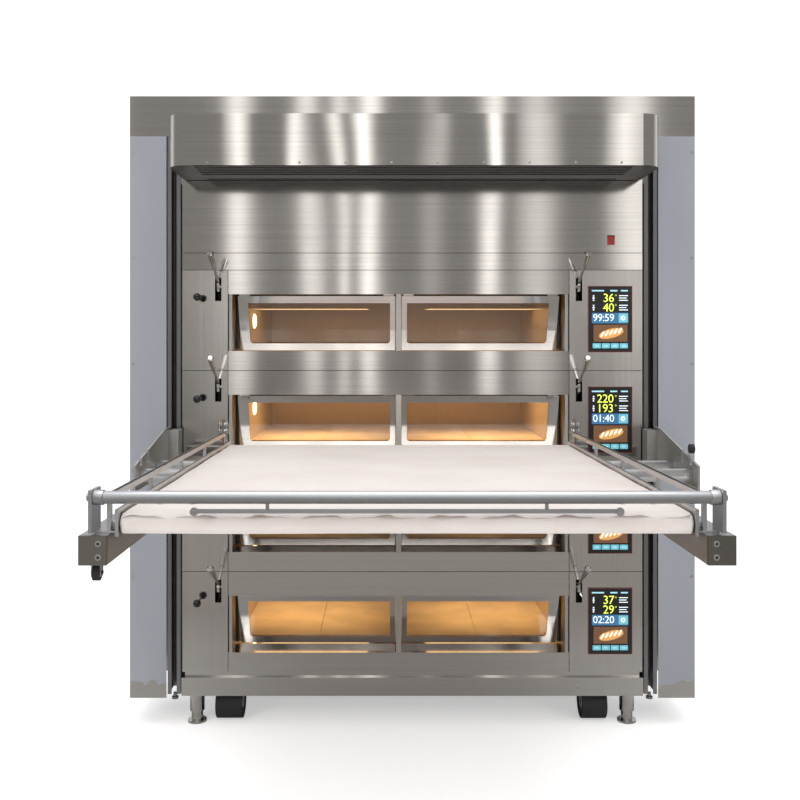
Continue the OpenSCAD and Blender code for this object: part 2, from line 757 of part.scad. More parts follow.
flange_z = beam_top + 0.4;
flange_t = 4;
flange_x = lever_x - 22;
cheek_top = belt_z + 12;
journal_r = 8;
nose_journal_r = 4;
rail_s = 13;
rail_z = belt_z + 32;
posts = 5;
cheek_low = roller_z - roller_d / 2 - 4;

module setter_frame() color("silver") {
  board_back = nose_y - nose_d - 8;
  board_front = roller_y + roller_d / 2 + 10;
  block([door_x - cheek_x, board_front, belt_z - belt_t - belt_gap - 8],
    [door_x + cheek_x, board_back, belt_z - belt_t - belt_gap - 0.4]);
  for (s = [0, 1]) translate([door_x, 0, 0]) mirror([s, 0, 0]) difference() {
    union() {
      block([cheek_x, roller_y - 26, cheek_low], [cheek_x + cheek_t, 8 - nose_out, cheek_top]);
      block([cheek_x + cheek_t, roller_y - 26, flange_z], [flange_x, 4 - nose_out, flange_z + flange_t]);
    }
    rod_x(journal_r + run_gap, cheek_x - eps, cheek_x + cheek_t + eps, roller_y, roller_z);
    rod_x(nose_journal_r + run_gap, cheek_x - eps, cheek_x + cheek_t + eps, nose_y, nose_z);
  }
}

module setter_rails() color("lightgray")
  for (s = [0, 1]) translate([door_x, 0, 0]) mirror([s, 0, 0]) {
    y0 = roller_y - 16;
    y1 = 4 - nose_out;
    difference() {
      block([rail_x, y0, rail_z], [rail_x + rail_s, y1, rail_z + rail_s]);
      block([rail_x + 4, y0 + 12, rail_z + rail_s - 5],
        [rail_x + rail_s - 4, y1 - 12, rail_z + rail_s + eps]);
    }
    for (i = [0 : posts - 1]) {
      y = y0 + i * (y1 - y0 - 12) / (posts - 1);
      block([rail_x + 2, y, flange_z + flange_t], [rail_x + rail_s - 2, y + 12, rail_z]);
    }
  }

handle_x = beam_in + beam_w - 28;
release_x = [-300, 300];
release_r = 4;
release_z = handle_z - handle_d / 2 - release_travel - 14;

module handle_bar() color("silver") {
  difference() {
    rod_x(handle_d / 2, door_x - handle_x, door_x + handle_x, handle_y, handle_z);
    rod_x(handle_d / 2 - 2, door_x - handle_x + 12, door_x + handle_x - 12, handle_y, handle_z);
    for (x = release_x) rod_z(release_r + run_gap, door_x + x, handle_y, handle_z - handle_d, handle_z);
  }
  for (s = [0, 1]) translate([door_x, 0, 0]) mirror([s, 0, 0])
    block([handle_x, handle_y - 17, flange_z + flange_t], [handle_x + 8, handle_y + 46, handle_z + 17]);
}

module release_bar() color("silver") {
  w = 465;
  block([door_x - w, handle_y - 5, release_z], [door_x + w, handle_y + 5, release_z + 8]);
  for (x = release_x) rod_z(release_r, door_x + x, handle_y, release_z + 8, handle_z - 4);
  for (s = [-1, 1]) rod_y(9, door_x + s * (w - 9), handle_y - 9, handle_y - 5, release_z + 4);
}

module front_roller() color("silver") {
  rod_x(roller_d / 2, door_x - cheek_x + 2, door_x + cheek_x - 2, roller_y, roller_z);
  rod_x(journal_r, door_x - cheek_x - cheek_t - 6, door_x + cheek_x + cheek_t + 6, roller_y, roller_z);
}

module nose_roller() color("silver") {
  rod_x(nose_d / 2, door_x - cheek_x + 2, door_x + cheek_x - 2, nose_y, nose_z);
  rod_x(nose_journal_r, door_x - cheek_x - cheek_t, door_x + cheek_x + cheek_t, nose_y, nose_z);
}

// The solid that the belt wraps, grown by the distance given
module belt_core(grow, w) hull() {
  rod_x(roller_d / 2 + grow, door_x - w, door_x + w, roller_y, roller_z, $fn = 64);
  rod_x(nose_d / 2 + grow, door_x - w, door_x + w, nose_y, nose_z, $fn = 64);
}

module canvas_belt() color("ivory") difference() {
  belt_core(belt_gap + belt_t, belt_w / 2);
  belt_core(belt_gap, belt_w / 2 + eps);
}

/* ---------- doors ---------- */

door_out = mouth - door_gap;
door_in = post_w / 2 + post_gap;
rebate = 7;

// The opening behind the glass, its lower corners round
module window_plan(w, h, r) {
  translate([0, r]) square([w, h - r]);
  translate([r, 0]) square([w - 2 * r, r]);
  for (x = [r, w - r]) translate([x, r]) circle(r = r);
}

// Places a door's own frame: X outwards from the middle post, Y behind the door, Z up along it
module at_door(k, s)
  translate([door_x, front_y + pivot_back, deck_z(k) - pivot_drop]) mirror([s < 0 ? 1 : 0, 0, 0])
    rotate([door_tilt, 0, 0]) children();

window_w = door_out - door_in - outer_stile - inner_stile;
window_h = door_end - door_top - 2 * door_rail;

module door_leaf() {
  difference() {
    translate([door_in, -door_t / 2, -door_end]) cube([door_out - door_in, door_t, door_end - door_top]);
    translate([door_in + inner_stile, door_t / 2 + eps, door_rail - door_end])
      rotate([90, 0, 0]) linear_extrude(door_t + 2 * eps) window_plan(window_w, window_h, 12);
    translate([door_in + inner_stile - rebate, -door_t / 2 + 8, door_rail - rebate - door_end])
      cube([window_w + 2 * rebate, door_t, window_h + 2 * rebate]);
  }
  for (x = [door_in + 6, door_out - 46]) translate([x, -7, -door_top]) cube([40, 14, door_top - 4]);
}

// The lever outside its panel slot: hub, arm and tapered grip
module door_lever() {
  arm = lever_len - 100;
  translate([lever_x - 5, 0, 0]) rotate([0, 90, 0]) cylinder(r = 28, h = 10);
  translate([lever_x, 0, 0]) rotate([90 - lever_rise, 0, 0]) {
    translate([0, 0, 20]) cylinder(r = 6, h = arm - 20);
    translate([0, 0, arm]) cylinder(r1 = 8, r2 = 12.5, h = 94);
    translate([0, 0, arm + 94]) cylinder(r1 = 12.5, r2 = 8, h = 6);
  }
}

module door(k, s) color("silver") {
  at_door(k, s) door_leaf();
  translate([door_x, front_y + pivot_back, deck_z(k) - pivot_drop]) mirror([s < 0 ? 1 : 0, 0, 0]) {
    translate([post_w / 2 - 6, 0, 0]) rotate([0, 90, 0])
      cylinder(r = shaft_d / 2, h = lever_x + 11 - post_w / 2);
    door_lever();
  }
}

module glass(k, s) color("lightcyan") at_door(k, s)
  translate([door_in + inner_stile - rebate + 1, -door_t / 2 + 8, door_rail - rebate + 1 - door_end])
    cube([window_w + 2 * rebate - 2, glass_t, window_h + 2 * rebate - 2]);

module door_1_left() door(0, -1);
module door_1_right() door(0, 1);
module door_2_left() door(1, -1);
module door_2_right() door(1, 1);
module door_3_left() door(2, -1);
module door_3_right() door(2, 1);
module door_4_left() door(3, -1);
module door_4_right() door(3, 1);
module glass_1_left() glass(0, -1);
module glass_1_right() glass(0, 1);
module glass_2_left() glass(1, -1);
module glass_2_right() glass(1, 1);
module glass_3_left() glass(2, -1);
module glass_3_right() glass(2, 1);
module glass_4_left() glass(3, -1);
module glass_4_right() glass(3, 1);

/* ---------- dampers and screws ---------- */

module damper(k) color("black") {
  z = deck_z(k) - damper_drop;
  rod_y(damper_r, -damper_x, -50, 40 + knob_travel, z);
  rod_y(9, -damper_x, -48, -36, z);
  translate([-damper_x, front_y - 58, z]) sphere(r = knob_d / 2);
}

module damper_1() damper(0);
module damper_2() damper(1);
module damper_3() damper(2);
module damper_4() damper(3);

screw_r = 4;

module panel_screws() color("gray") {
  for (i = [0 : 9]) rod_y(screw_r, (i - 4.5) * hood_w / 5.4, -hood_d - 2.5, -hood_d, hood_z + 10);
  for (s = [-1, 1]) for (z = [0 : 5]) rod_y(screw_r, s * (cover_out - 12), cover_y - 2.5, cover_y,
    cover_z + 60 + z * (lintel_z - cover_z - 120) / 5);
}

base_frame();
legs();
rear_castor_forks();
front_fork_left();
front_fork_right();
front_wheel_left();
front_wheel_right();
rear_wheels();
outer_casing();
insulation();
chambers();
hearth_stones();
heating_rods();
chamber_lamps();
deck_fascias();
door_jambs();
front_panels();
screens();
top_fascia();
power_switch();
hood();
hood_slats();
lintel();
side_covers();
lift_columns();
lift_chains();
lift_shaft();
counterweights();
carriage();
cross_bars();
loader_beams();
support_wheel();
setter_frame();
setter_rails();
handle_bar();
release_bar();
front_roller();
nose_roller();
canvas_belt();
door_1_left();
door_1_right();
door_2_left();
door_2_right();
door_3_left();
door_3_right();
door_4_left();
door_4_right();
glass_1_left();
glass_1_right();
glass_2_left();
glass_2_right();
glass_3_left();
glass_3_right();
glass_4_left();
glass_4_right();
damper_1();
damper_2();
damper_3();
damper_4();
panel_screws();
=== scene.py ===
# %% [markdown]
# # A four-deck bakery oven with its lift loader
#
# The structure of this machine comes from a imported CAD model, which loads here as a fixed frame: every node keeps
# its shape and its place. What this lesson adds is the looks. Each finish is a small node tree, and each piece that
# the CAD keeps plain, such as the canvas, the touch screens, the castors' tread or the chain in the rails, is
# modelled the way a person would in the viewport: add a primitive, shape it in edit mode, finish it with modifiers.

# %% Load the frame
import math
import bpy
import bmesh
from mathutils import Matrix, Vector


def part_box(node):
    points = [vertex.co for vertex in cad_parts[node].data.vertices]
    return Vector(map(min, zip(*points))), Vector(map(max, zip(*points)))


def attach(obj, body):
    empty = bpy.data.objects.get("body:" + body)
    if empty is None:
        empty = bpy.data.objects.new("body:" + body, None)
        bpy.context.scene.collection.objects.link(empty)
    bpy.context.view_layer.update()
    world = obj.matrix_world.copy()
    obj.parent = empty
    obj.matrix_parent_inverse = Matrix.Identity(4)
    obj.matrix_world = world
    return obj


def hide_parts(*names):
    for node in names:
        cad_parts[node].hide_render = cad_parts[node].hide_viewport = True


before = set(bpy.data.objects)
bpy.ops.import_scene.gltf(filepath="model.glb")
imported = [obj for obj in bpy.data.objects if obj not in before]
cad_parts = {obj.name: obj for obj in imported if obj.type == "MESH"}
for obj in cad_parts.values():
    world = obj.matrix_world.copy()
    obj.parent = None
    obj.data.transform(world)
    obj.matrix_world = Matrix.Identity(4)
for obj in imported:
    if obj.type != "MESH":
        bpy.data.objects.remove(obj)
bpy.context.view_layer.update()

# %% [markdown]
# Positions are read from the frame and never typed in twice. The oven's front plane is where the deck fascias
# start, the doors are centred between the jambs, and each deck repeats one pitch below the one above it.

# %% Measure the frame
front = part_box("deck_fascias")[0].y
jamb_lo, jamb_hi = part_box("door_jambs")
door_x = (jamb_lo.x + jamb_hi.x) / 2
decks = 4
pitch = (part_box("damper_1")[0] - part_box("damper_2")[0]).z
deck_top = [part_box("top_fascia")[0].z - 0.001 - k * pitch for k in range(decks)]
belt_lo, belt_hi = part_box("canvas_belt")
belt_x = (belt_lo.x + belt_hi.x) / 2
print("deck pitch %.3f m, doors centred on x = %.3f m" % (pitch, door_x))

# %% [markdown]
# The view is a photographer's: standing in front of the machine, eye level a little above the loader, the camera
# kept level so that upright edges stay upright. A level camera puts the horizon in the middle of the frame, so a
# small lens shift brings the whole machine back into it.

# %% Camera
camera_data = bpy.data.cameras.new("camera")
camera = bpy.data.objects.new("camera", camera_data)
bpy.context.scene.collection.objects.link(camera)
camera.location = (-0.094, front - 3.55, 1.472)
camera.rotation_euler = (math.radians(90), 0, 0)
camera_data.sensor_width = 36
camera_data.lens = 41.28
camera_data.shift_x = 0.015
camera_data.shift_y = -0.06875
bpy.context.scene.camera = camera

# %% [markdown]
# Brushed steel shows its surroundings, so the light is half of the material. The room is drawn with nodes: a dim
# wall that brightens towards the ceiling, and on the wall behind the camera a row of narrow bright bands, which
# become the upright streaks on the fascias and the hood. Soft lights fill in, and the camera itself sees plain white.

# %% Light
bpy.context.scene.view_settings.view_transform = "Standard"
world = bpy.data.worlds.new("studio")
bpy.context.scene.world = world
world.use_nodes = True
sky = world.node_tree


def sky_node(kind, sources=(), **values):
    node = sky.nodes.new(kind)
    for key, value in values.items():
        if key in node.inputs:
            node.inputs[key].default_value = value
        else:
            setattr(node, key, value)
    for socket, source in enumerate(sources):
        if source is not None:
            sky.links.new(source, node.inputs[socket])
    return node


def sky_range(source, low, high, out_low=0.0, out_high=1.0):
    keys = {"From Min": low, "From Max": high, "To Min": out_low, "To Max": out_high}
    return sky_node("ShaderNodeMapRange", [source], **keys).outputs[0]


def sky_ramp(source, stops):
    node = sky_node("ShaderNodeValToRGB", [source])
    points = node.color_ramp.elements
    points[0].position, points[0].color = stops[0][0], (*stops[0][1], 1)
    points[1].position, points[1].color = stops[-1][0], (*stops[-1][1], 1)
    for place, colour in stops[1:-1]:
        points.new(place).color = (*colour, 1)
    return node.outputs["Color"]


way = sky_node("ShaderNodeSeparateXYZ", [sky_node("ShaderNodeTexCoord").outputs["Generated"]]).outputs
toward = sky_node("ShaderNodeMath", [way["Y"]], operation="MULTIPLY")
toward.inputs[1].default_value = -1
ahead = sky_node("ShaderNodeMath", [toward.outputs[0]], operation="MAXIMUM")
ahead.inputs[1].default_value = 0.05
across = sky_node("ShaderNodeMath", [way["X"], ahead.outputs[0]], operation="DIVIDE").outputs[0]
off = (0, 0, 0)
stops = [(0, off)]
for place, half, glow in ((-0.33, 0.03, 1.5), (-0.165, 0.014, 1.9), (-0.085, 0.008, 2.2), (-0.05, 0.007, 2.0),
                          (-0.018, 0.010, 2.6), (0.045, 0.006, 0.8), (0.112, 0.009, 2.6), (0.165, 0.02, 1.0),
                          (0.27, 0.02, 1.6)):
    bright_band = (glow, glow * 0.985, glow * 0.95)
    for shift, colour in ((-1.4 * half, off), (0, bright_band), (1.4 * half, off)):
        stops.append((0.5 + place + shift, colour))
stops.append((1, off))
bands = sky_ramp(sky_range(across, -0.5, 0.5), stops)
room = sky_ramp(sky_range(way["Z"], -1, 1), [(0, (0.20, 0.185, 0.17)), (0.42, (0.17, 0.16, 0.15)),
                                             (0.52, (0.30, 0.285, 0.27)), (0.66, (0.33, 0.32, 0.31)),
                                             (0.8, (0.85, 0.85, 0.85)), (1, (1.1, 1.1, 1.1))])
band_mask = sky_node("ShaderNodeMath", [sky_range(way["Z"], -0.2, 0.04), sky_range(toward.outputs[0], 0.2, 0.6)],
                     operation="MULTIPLY").outputs[0]
lit = sky_node("ShaderNodeMix", [band_mask], data_type="RGBA", blend_type="ADD")
sky.links.new(room, lit.inputs[6])
sky.links.new(bands, lit.inputs[7])
whole = sky_node("ShaderNodeMix", [sky_range(way["Y"], -0.1, 0.4)], data_type="RGBA")
sky.links.new(lit.outputs[2], whole.inputs[6])
whole.inputs[7].default_value = (0.98, 0.98, 0.98, 1)
seen_sky = sky_node("ShaderNodeMix", [sky_node("ShaderNodeLightPath").outputs["Is Camera Ray"]], data_type="RGBA")
sky.links.new(whole.outputs[2], seen_sky.inputs[6])
seen_sky.inputs[7].default_value = (0.98, 0.98, 0.98, 1)
sky.links.new(seen_sky.outputs[2], sky.nodes["Background"].inputs["Color"])
sky.nodes["Background"].inputs["Strength"].default_value = 1.0


def soft_light(name, place, target, size, power, colour=(1, 1, 1)):
    data = bpy.data.lights.new(name, "AREA")
    data.shape = "RECTANGLE"
    data.size, data.size_y = size
    data.energy = power
    data.color = colour
    light = bpy.data.objects.new(name, data)
    light.location = place
    light.rotation_euler = (Vector(target) - Vector(place)).to_track_quat("-Z", "Y").to_euler()
    bpy.context.scene.collection.objects.link(light)
    return light


soft_light("fill_left", (-3.6, -4.4, 2.4), (-0.4, 0, 1.5), (0.9, 3.0), 60)
soft_light("fill_right", (3.8, -4.2, 2.2), (0.9, 0, 1.4), (0.9, 3.0), 50)
soft_light("overhead", (0, -1.6, 4.6), (0, -0.4, 1.0), (3.4, 2.4), 62)
for name in ("fill_left", "fill_right"):
    bpy.data.objects[name].visible_glossy = False

# %% [markdown]
# ## Finishes
#
# Every finish starts from the same few nodes: object coordinates, a Mapping node that stretches them, a Noise
# texture, and a Bump node. Numbers that are the same all over a surface go straight on the shader's sockets.

# %% Material helpers


def shader(name, colour, metallic=0.0, roughness=0.5):
    material = bpy.data.materials.new(name)
    material.use_nodes = True
    bsdf = material.node_tree.nodes["Principled BSDF"]
    bsdf.inputs["Base Color"].default_value = (*colour, 1)
    bsdf.inputs["Metallic"].default_value = metallic
    bsdf.inputs["Roughness"].default_value = roughness
    return material


def add_node(material, kind, **values):
    node = material.node_tree.nodes.new(kind)
    for key, value in values.items():
        if key in node.inputs:
            node.inputs[key].default_value = value
        else:
            setattr(node, key, value)
    return node


def link(material, source, target, socket):
    material.node_tree.links.new(source, target.inputs[socket])


def noise(material, scale, stretch=(1, 1, 1), detail=4.0, roughness=0.5):
    coord = add_node(material, "ShaderNodeTexCoord")
    mapping = add_node(material, "ShaderNodeMapping")
    mapping.inputs["Scale"].default_value = stretch
    texture = add_node(material, "ShaderNodeTexNoise", Scale=scale, Detail=detail, Roughness=roughness)
    link(material, coord.outputs["Object"], mapping, "Vector")
    link(material, mapping.outputs[0], texture, "Vector")
    return texture.outputs["Fac"]


def remap(material, source, low, high):
    node = add_node(material, "ShaderNodeMapRange")
    node.inputs["To Min"].default_value = low
    node.inputs["To Max"].default_value = high
    link(material, source, node, "Value")
    return node.outputs[0]


def two_tone(material, source, dark, light, low=0.35, high=0.65):
    ramp = add_node(material, "ShaderNodeValToRGB")
    ramp.color_ramp.elements[0].position = low
    ramp.color_ramp.elements[1].position = high
    ramp.color_ramp.elements[0].color = (*dark, 1)
    ramp.color_ramp.elements[1].color = (*light, 1)
    link(material, source, ramp, "Fac")
    return ramp.outputs["Color"]


def bump(material, source, strength, distance, under=None):
    node = add_node(material, "ShaderNodeBump")
    node.inputs["Strength"].default_value = strength
    node.inputs["Distance"].default_value = distance
    link(material, source, node, "Height")
    if under is not None:
        link(material, under, node, "Normal")
    return node.outputs[0]


def bsdf_of(material):
    return material.node_tree.nodes["Principled BSDF"]


# %% [markdown]
# The floor is a stage: one pale sheet that curves up behind the machine, so there is no horizon line. Where steel
# mirrors the part in front of the machine, the sheet turns darker, as a workshop floor would be.

# %% Stage
bpy.ops.object.select_all(action="DESELECT")
bpy.ops.mesh.primitive_plane_add(size=1)
stage = bpy.context.object
stage.name = "stage"
bm = bmesh.new()
sweep = [(-14.0, 0.0), (6.0, 0.0)] + [
    (6.0 + 2.0 * math.sin(a * math.pi / 20), 2.0 - 2.0 * math.cos(a * math.pi / 20)) for a in range(1, 11)
] + [(8.0, 9.0)]
left = [bm.verts.new((-14, y, z)) for y, z in sweep]
right = [bm.verts.new((14, y, z)) for y, z in sweep]
for i in range(len(sweep) - 1):
    bm.faces.new((left[i], right[i], right[i + 1], left[i + 1]))
bm.to_mesh(stage.data)
bm.free()
stage.data.polygons.foreach_set("use_smooth", [True] * len(stage.data.polygons))
paper = shader("paper_sweep", (0.93, 0.93, 0.93), 0, 0.9)
bsdf_of(paper).inputs["Emission Color"].default_value = (1, 1, 1, 1)
seen = add_node(paper, "ShaderNodeLightPath")
glow = add_node(paper, "ShaderNodeMath", operation="MULTIPLY")
glow.inputs[1].default_value = 0.42
link(paper, seen.outputs["Is Camera Ray"], glow, 0)
link(paper, glow.outputs[0], bsdf_of(paper), "Emission Strength")
stage_place = add_node(paper, "ShaderNodeSeparateXYZ")
link(paper, add_node(paper, "ShaderNodeTexCoord").outputs["Object"], stage_place, 0)
fades = add_node(paper, "ShaderNodeMapRange", **{"From Min": 1.5, "From Max": -1.5})
link(paper, stage_place.outputs["Y"], fades, "Value")
in_front = add_node(paper, "ShaderNodeMath", operation="MULTIPLY")
link(paper, fades.outputs[0], in_front, 0)
link(paper, seen.outputs["Is Glossy Ray"], in_front, 1)
mirror_tone = add_node(paper, "ShaderNodeMix", data_type="RGBA")
mirror_tone.inputs[6].default_value = (0.93, 0.93, 0.93, 1)
mirror_tone.inputs[7].default_value = (0.30, 0.285, 0.265, 1)
link(paper, in_front.outputs[0], mirror_tone, 0)
link(paper, mirror_tone.outputs[2], bsdf_of(paper), "Base Color")
stage.data.materials.append(paper)

# %% [markdown]
# **Brushed stainless steel.** The real sheet is ground with a belt, which leaves hair-fine lines along one
# direction, and thin sheet is never quite flat. So two heights are added: noise stretched nearly into lines, and
# slow waves that bend the reflections. The direction of the grain is the direction in which the noise is stretched.

# %% Brushed steel


def brushed(name, grain, colour=(0.58, 0.56, 0.54), rough=(0.075, 0.12), wave=0.06, lines=0.004):
    material = shader(name, colour, 1.0, 0.3)
    bsdf_of(material).inputs["Anisotropic"].default_value = 0.85
    smear = add_node(material, "ShaderNodeCombineXYZ")
    for axis, value in zip("XYZ", {"x": (0, 0.05, 1), "y": (0.3, 0, 1), "z": (1, 0.3, 0)}[grain]):
        smear.inputs[axis].default_value = value
    link(material, smear.outputs[0], bsdf_of(material), "Tangent")
    stretch = {"x": (1.2, 210, 210), "y": (210, 1.2, 210), "z": (210, 210, 1.2)}[grain]
    hair = noise(material, 1.0, stretch, 6, 0.6)
    slow = noise(material, 1.0, (1.5, 1.5, 0.55), 1.5)
    smudge = noise(material, 5.0, (1, 1, 1), 5)
    link(material, remap(material, smudge, *rough), bsdf_of(material), "Roughness")
    dark, light = tuple(c * 0.93 for c in colour), tuple(min(1, c * 1.05) for c in colour)
    tint = two_tone(material, hair, dark, light, 0.3, 0.7)
    link(material, tint, bsdf_of(material), "Base Color")
    waves = bump(material, slow, wave, 0.05)
    link(material, bump(material, hair, lines, 0.002, waves), bsdf_of(material), "Normal")
    return material


steel_x = brushed("stainless_grain_across", "x")
steel_z = brushed("stainless_grain_upright", "z", wave=0.05)
steel_hood = brushed("stainless_hood", "x", rough=(0.05, 0.085), wave=0.13, lines=0.002)
steel_dull = brushed("stainless_dull", "x", (0.5, 0.49, 0.475), (0.34, 0.5), 0.04)
aluminium = brushed("anodised_aluminium", "y", (0.62, 0.62, 0.63), (0.3, 0.42), 0.0, 0.03)
bar_metal = brushed("anodised_crossbar", "x", (0.66, 0.66, 0.67), (0.28, 0.4), 0.0, 0.03)
column_metal = brushed("column_steel", "z", (0.30, 0.30, 0.31), (0.3, 0.42), 0.0, 0.03)
bright = brushed("polished_tube", "x", (0.47, 0.48, 0.50), (0.28, 0.36), 0.0, 0.02)
beam_metal = brushed("anodised_beam", "y", (0.62, 0.62, 0.63), (0.3, 0.42), 0.0, 0.03)
beam_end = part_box("loader_beams")[0].y + 0.0082
beam_split = add_node(beam_metal, "ShaderNodeSeparateXYZ")
link(beam_metal, add_node(beam_metal, "ShaderNodeTexCoord").outputs["Object"], beam_split, 0)
is_plate = add_node(beam_metal, "ShaderNodeMath", operation="LESS_THAN")
is_plate.inputs[1].default_value = beam_end
link(beam_metal, beam_split.outputs["Y"], is_plate, 0)
beam_tint = add_node(beam_metal, "ShaderNodeMix", data_type="RGBA")
beam_tint.inputs[7].default_value = (0.23, 0.215, 0.195, 1)
link(beam_metal, is_plate.outputs[0], beam_tint, 0)
link(beam_metal, bsdf_of(beam_metal).inputs["Base Color"].links[0].from_socket, beam_tint, 6)
link(beam_metal, beam_tint.outputs[2], bsdf_of(beam_metal), "Base Color")
print("steel finishes: 10")

# %% [markdown]
# **Painted and moulded finishes** need only a faint grain and a little unevenness in their gloss.

# %% Painted, moulded and cast finishes


def moulded(name, colour, rough=(0.3, 0.45), grain=900.0, depth=0.06, metallic=0.0):
    material = shader(name, colour, metallic, rough[0])
    fine = noise(material, grain, (1, 1, 1), 3)
    patch = noise(material, 7.0, (1, 1, 1), 4)
    link(material, remap(material, patch, *rough), bsdf_of(material), "Roughness")
    tint = two_tone(material, patch, tuple(c * 0.88 for c in colour), tuple(min(1, c * 1.1) for c in colour))
    link(material, tint, bsdf_of(material), "Base Color")
    link(material, bump(material, fine, depth, 0.0006), bsdf_of(material), "Normal")
    return material


black_gloss = moulded("black_knob", (0.012, 0.012, 0.013), (0.12, 0.2), depth=0.01)
black_matt = moulded("black_rubber", (0.018, 0.018, 0.019), (0.55, 0.72), 500)
dark_steel = moulded("dark_guide_steel", (0.075, 0.078, 0.082), (0.3, 0.45), metallic=0.8)
chain_steel = moulded("oiled_chain", (0.05, 0.048, 0.045), (0.28, 0.4), metallic=0.9)
zinc = moulded("zinc_plate", (0.52, 0.53, 0.54), (0.25, 0.4), 60, 0.05, 1.0)
cast = moulded("raw_cast_iron", (0.13, 0.13, 0.135), (0.5, 0.7), 240, 0.3, 0.6)
red_gloss = moulded("red_rocker", (0.33, 0.035, 0.03), (0.16, 0.26), depth=0.01)
copper = moulded("copper_ring", (0.72, 0.30, 0.14), (0.2, 0.3), metallic=1.0, depth=0.01)
grey_hub = moulded("grey_hub", (0.36, 0.37, 0.38), (0.3, 0.4))
wool = moulded("mineral_wool", (0.55, 0.47, 0.26), (0.85, 0.95), 90, 0.8)

# %% [markdown]
# **Protective film.** The side covers still carry their blue-grey film. It is thin and satin, with soft creases,
# and near the floor it has been torn off, which shows bare steel. The tear is a mask made from height plus noise,
# and it mixes the colour, the metallic value and the roughness of one shader.

# %% Film on the side covers
film = shader("film_on_steel", (0.5, 0.55, 0.62), 0.35, 0.36)
cover_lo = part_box("side_covers")[0]
film_coord = add_node(film, "ShaderNodeTexCoord")
film_split = add_node(film, "ShaderNodeSeparateXYZ")
link(film, film_coord.outputs["Object"], film_split, 0)
torn_edge = noise(film, 26.0, (1, 1, 1), 3)
ragged = add_node(film, "ShaderNodeMath", operation="MULTIPLY_ADD")
ragged.inputs[1].default_value = 0.09
ragged.inputs[2].default_value = cover_lo.z + 0.012
link(film, torn_edge, ragged, 0)
bare = add_node(film, "ShaderNodeMath", operation="LESS_THAN")
link(film, film_split.outputs["Z"], bare, 0)
link(film, ragged.outputs[0], bare, 1)
crease = noise(film, 2.2, (1, 1, 0.3), 3)
# The film's blue-grey tone varies, and it is darker in the crease hollows: painted shade for the creases.
film_tone_and_crease_shade = two_tone(film, crease, (0.31, 0.33, 0.37), (0.385, 0.405, 0.45), 0.3, 0.7)
tear_colour = add_node(film, "ShaderNodeMix", data_type="RGBA")
tear_colour.inputs[7].default_value = (0.52, 0.5, 0.48, 1)
link(film, bare.outputs[0], tear_colour, 0)
link(film, film_tone_and_crease_shade, tear_colour, 6)
link(film, tear_colour.outputs[2], bsdf_of(film), "Base Color")
link(film, remap(film, bare.outputs[0], 0.3, 1.0), bsdf_of(film), "Metallic")
link(film, remap(film, crease, 0.26, 0.42), bsdf_of(film), "Roughness")
link(film, bump(film, crease, 0.12, 0.02, bump(film, torn_edge, 0.05, 0.002)), bsdf_of(film), "Normal")

# %% [markdown]
# **Inside the chambers** the liner is heat-tinted steel, the hearth is fired stone with fine speckle, and the lamps
# glow. The lamps are emitters, and a small warm light beside each does the work of lighting the chamber.

# %% Chamber finishes
liner = brushed("heat_tinted_liner", "z", (0.62, 0.50, 0.36), (0.4, 0.55), 0.02)
bsdf_of(liner).inputs["Metallic"].default_value = 0.45
stone = moulded("fired_stone", (0.62, 0.50, 0.33), (0.75, 0.9), 160, 0.35)
lamp_glow = shader("lamp_glow", (1, 0.85, 0.6), 0, 0.4)
bsdf_of(lamp_glow).inputs["Emission Color"].default_value = (1, 0.72, 0.38, 1)
bsdf_of(lamp_glow).inputs["Emission Strength"].default_value = 4
lamp_grain = noise(lamp_glow, 60.0)
link(lamp_glow, bump(lamp_glow, lamp_grain, 0.2, 0.001), bsdf_of(lamp_glow), "Normal")
lamp_power = [2.8, 6, 1.0, 4.2]
for k in range(decks):
    z = deck_top[k] - 0.13
    for i, x in enumerate((door_x - 0.38, door_x + 0.38)):
        soft_light("chamber_light_%d_%d" % (k, i), (x, front + 0.55, z), (x, front + 0.6, 0),
                   (0.5, 0.5), lamp_power[k] * 0.35, (1.0, 0.62, 0.28))

# %% [markdown]
# **Glass** is a clear sheet: full transmission, with a faint unevenness that only the bump shows.

# %% Door glass
door_glass = shader("door_glass", (0.93, 0.95, 0.94), 0, 0.02)
bsdf_of(door_glass).inputs["Transmission Weight"].default_value = 1.0
bsdf_of(door_glass).inputs["IOR"].default_value = 1.45
link(door_glass, bump(door_glass, noise(door_glass, 3.0), 0.02, 0.004), bsdf_of(door_glass), "Normal")

# %% [markdown]
# ## Dressing the CAD nodes
#
# A CAD node's mesh is never touched: only its material slots are filled.

# %% Assign finishes


def dress(node, material):
    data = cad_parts[node].data
    data.materials.clear()
    data.materials.append(material)


finishes = {
    steel_x: ["deck_fascias", "top_fascia", "base_frame", "lintel"],
    steel_z: ["front_panels", "outer_casing", "legs"],
    steel_hood: ["hood"],
    steel_dull: ["door_jambs", "carriage"],
    film: ["side_covers"],
    column_metal: ["lift_columns", "hood_slats"],
    dark_steel: ["heating_rods"],
    chain_steel: ["lift_chains"],
    zinc: ["lift_shaft", "rear_castor_forks", "front_fork_left", "front_fork_right", "panel_screws"],
    cast: ["counterweights"],
    wool: ["insulation"],
    liner: ["chambers"],
    stone: ["hearth_stones"],
    lamp_glow: ["chamber_lamps"],
    red_gloss: ["power_switch"],
    black_gloss: ["screens"] + ["damper_%d" % (k + 1) for k in range(decks)],
    black_matt: ["support_wheel", "front_wheel_left", "front_wheel_right", "rear_wheels"],
    aluminium: ["setter_frame", "setter_rails"],
    beam_metal: ["loader_beams"],
    bar_metal: ["cross_bars", "front_roller", "nose_roller"],
    bright: ["handle_bar", "release_bar"],
}
for k in range(1, decks + 1):
    for side in ("left", "right"):
        finishes[steel_x].append("door_%d_%s" % (k, side))
        finishes.setdefault(door_glass, []).append("glass_%d_%s" % (k, side))
for material, nodes in finishes.items():
    for node in nodes:
        dress(node, material)
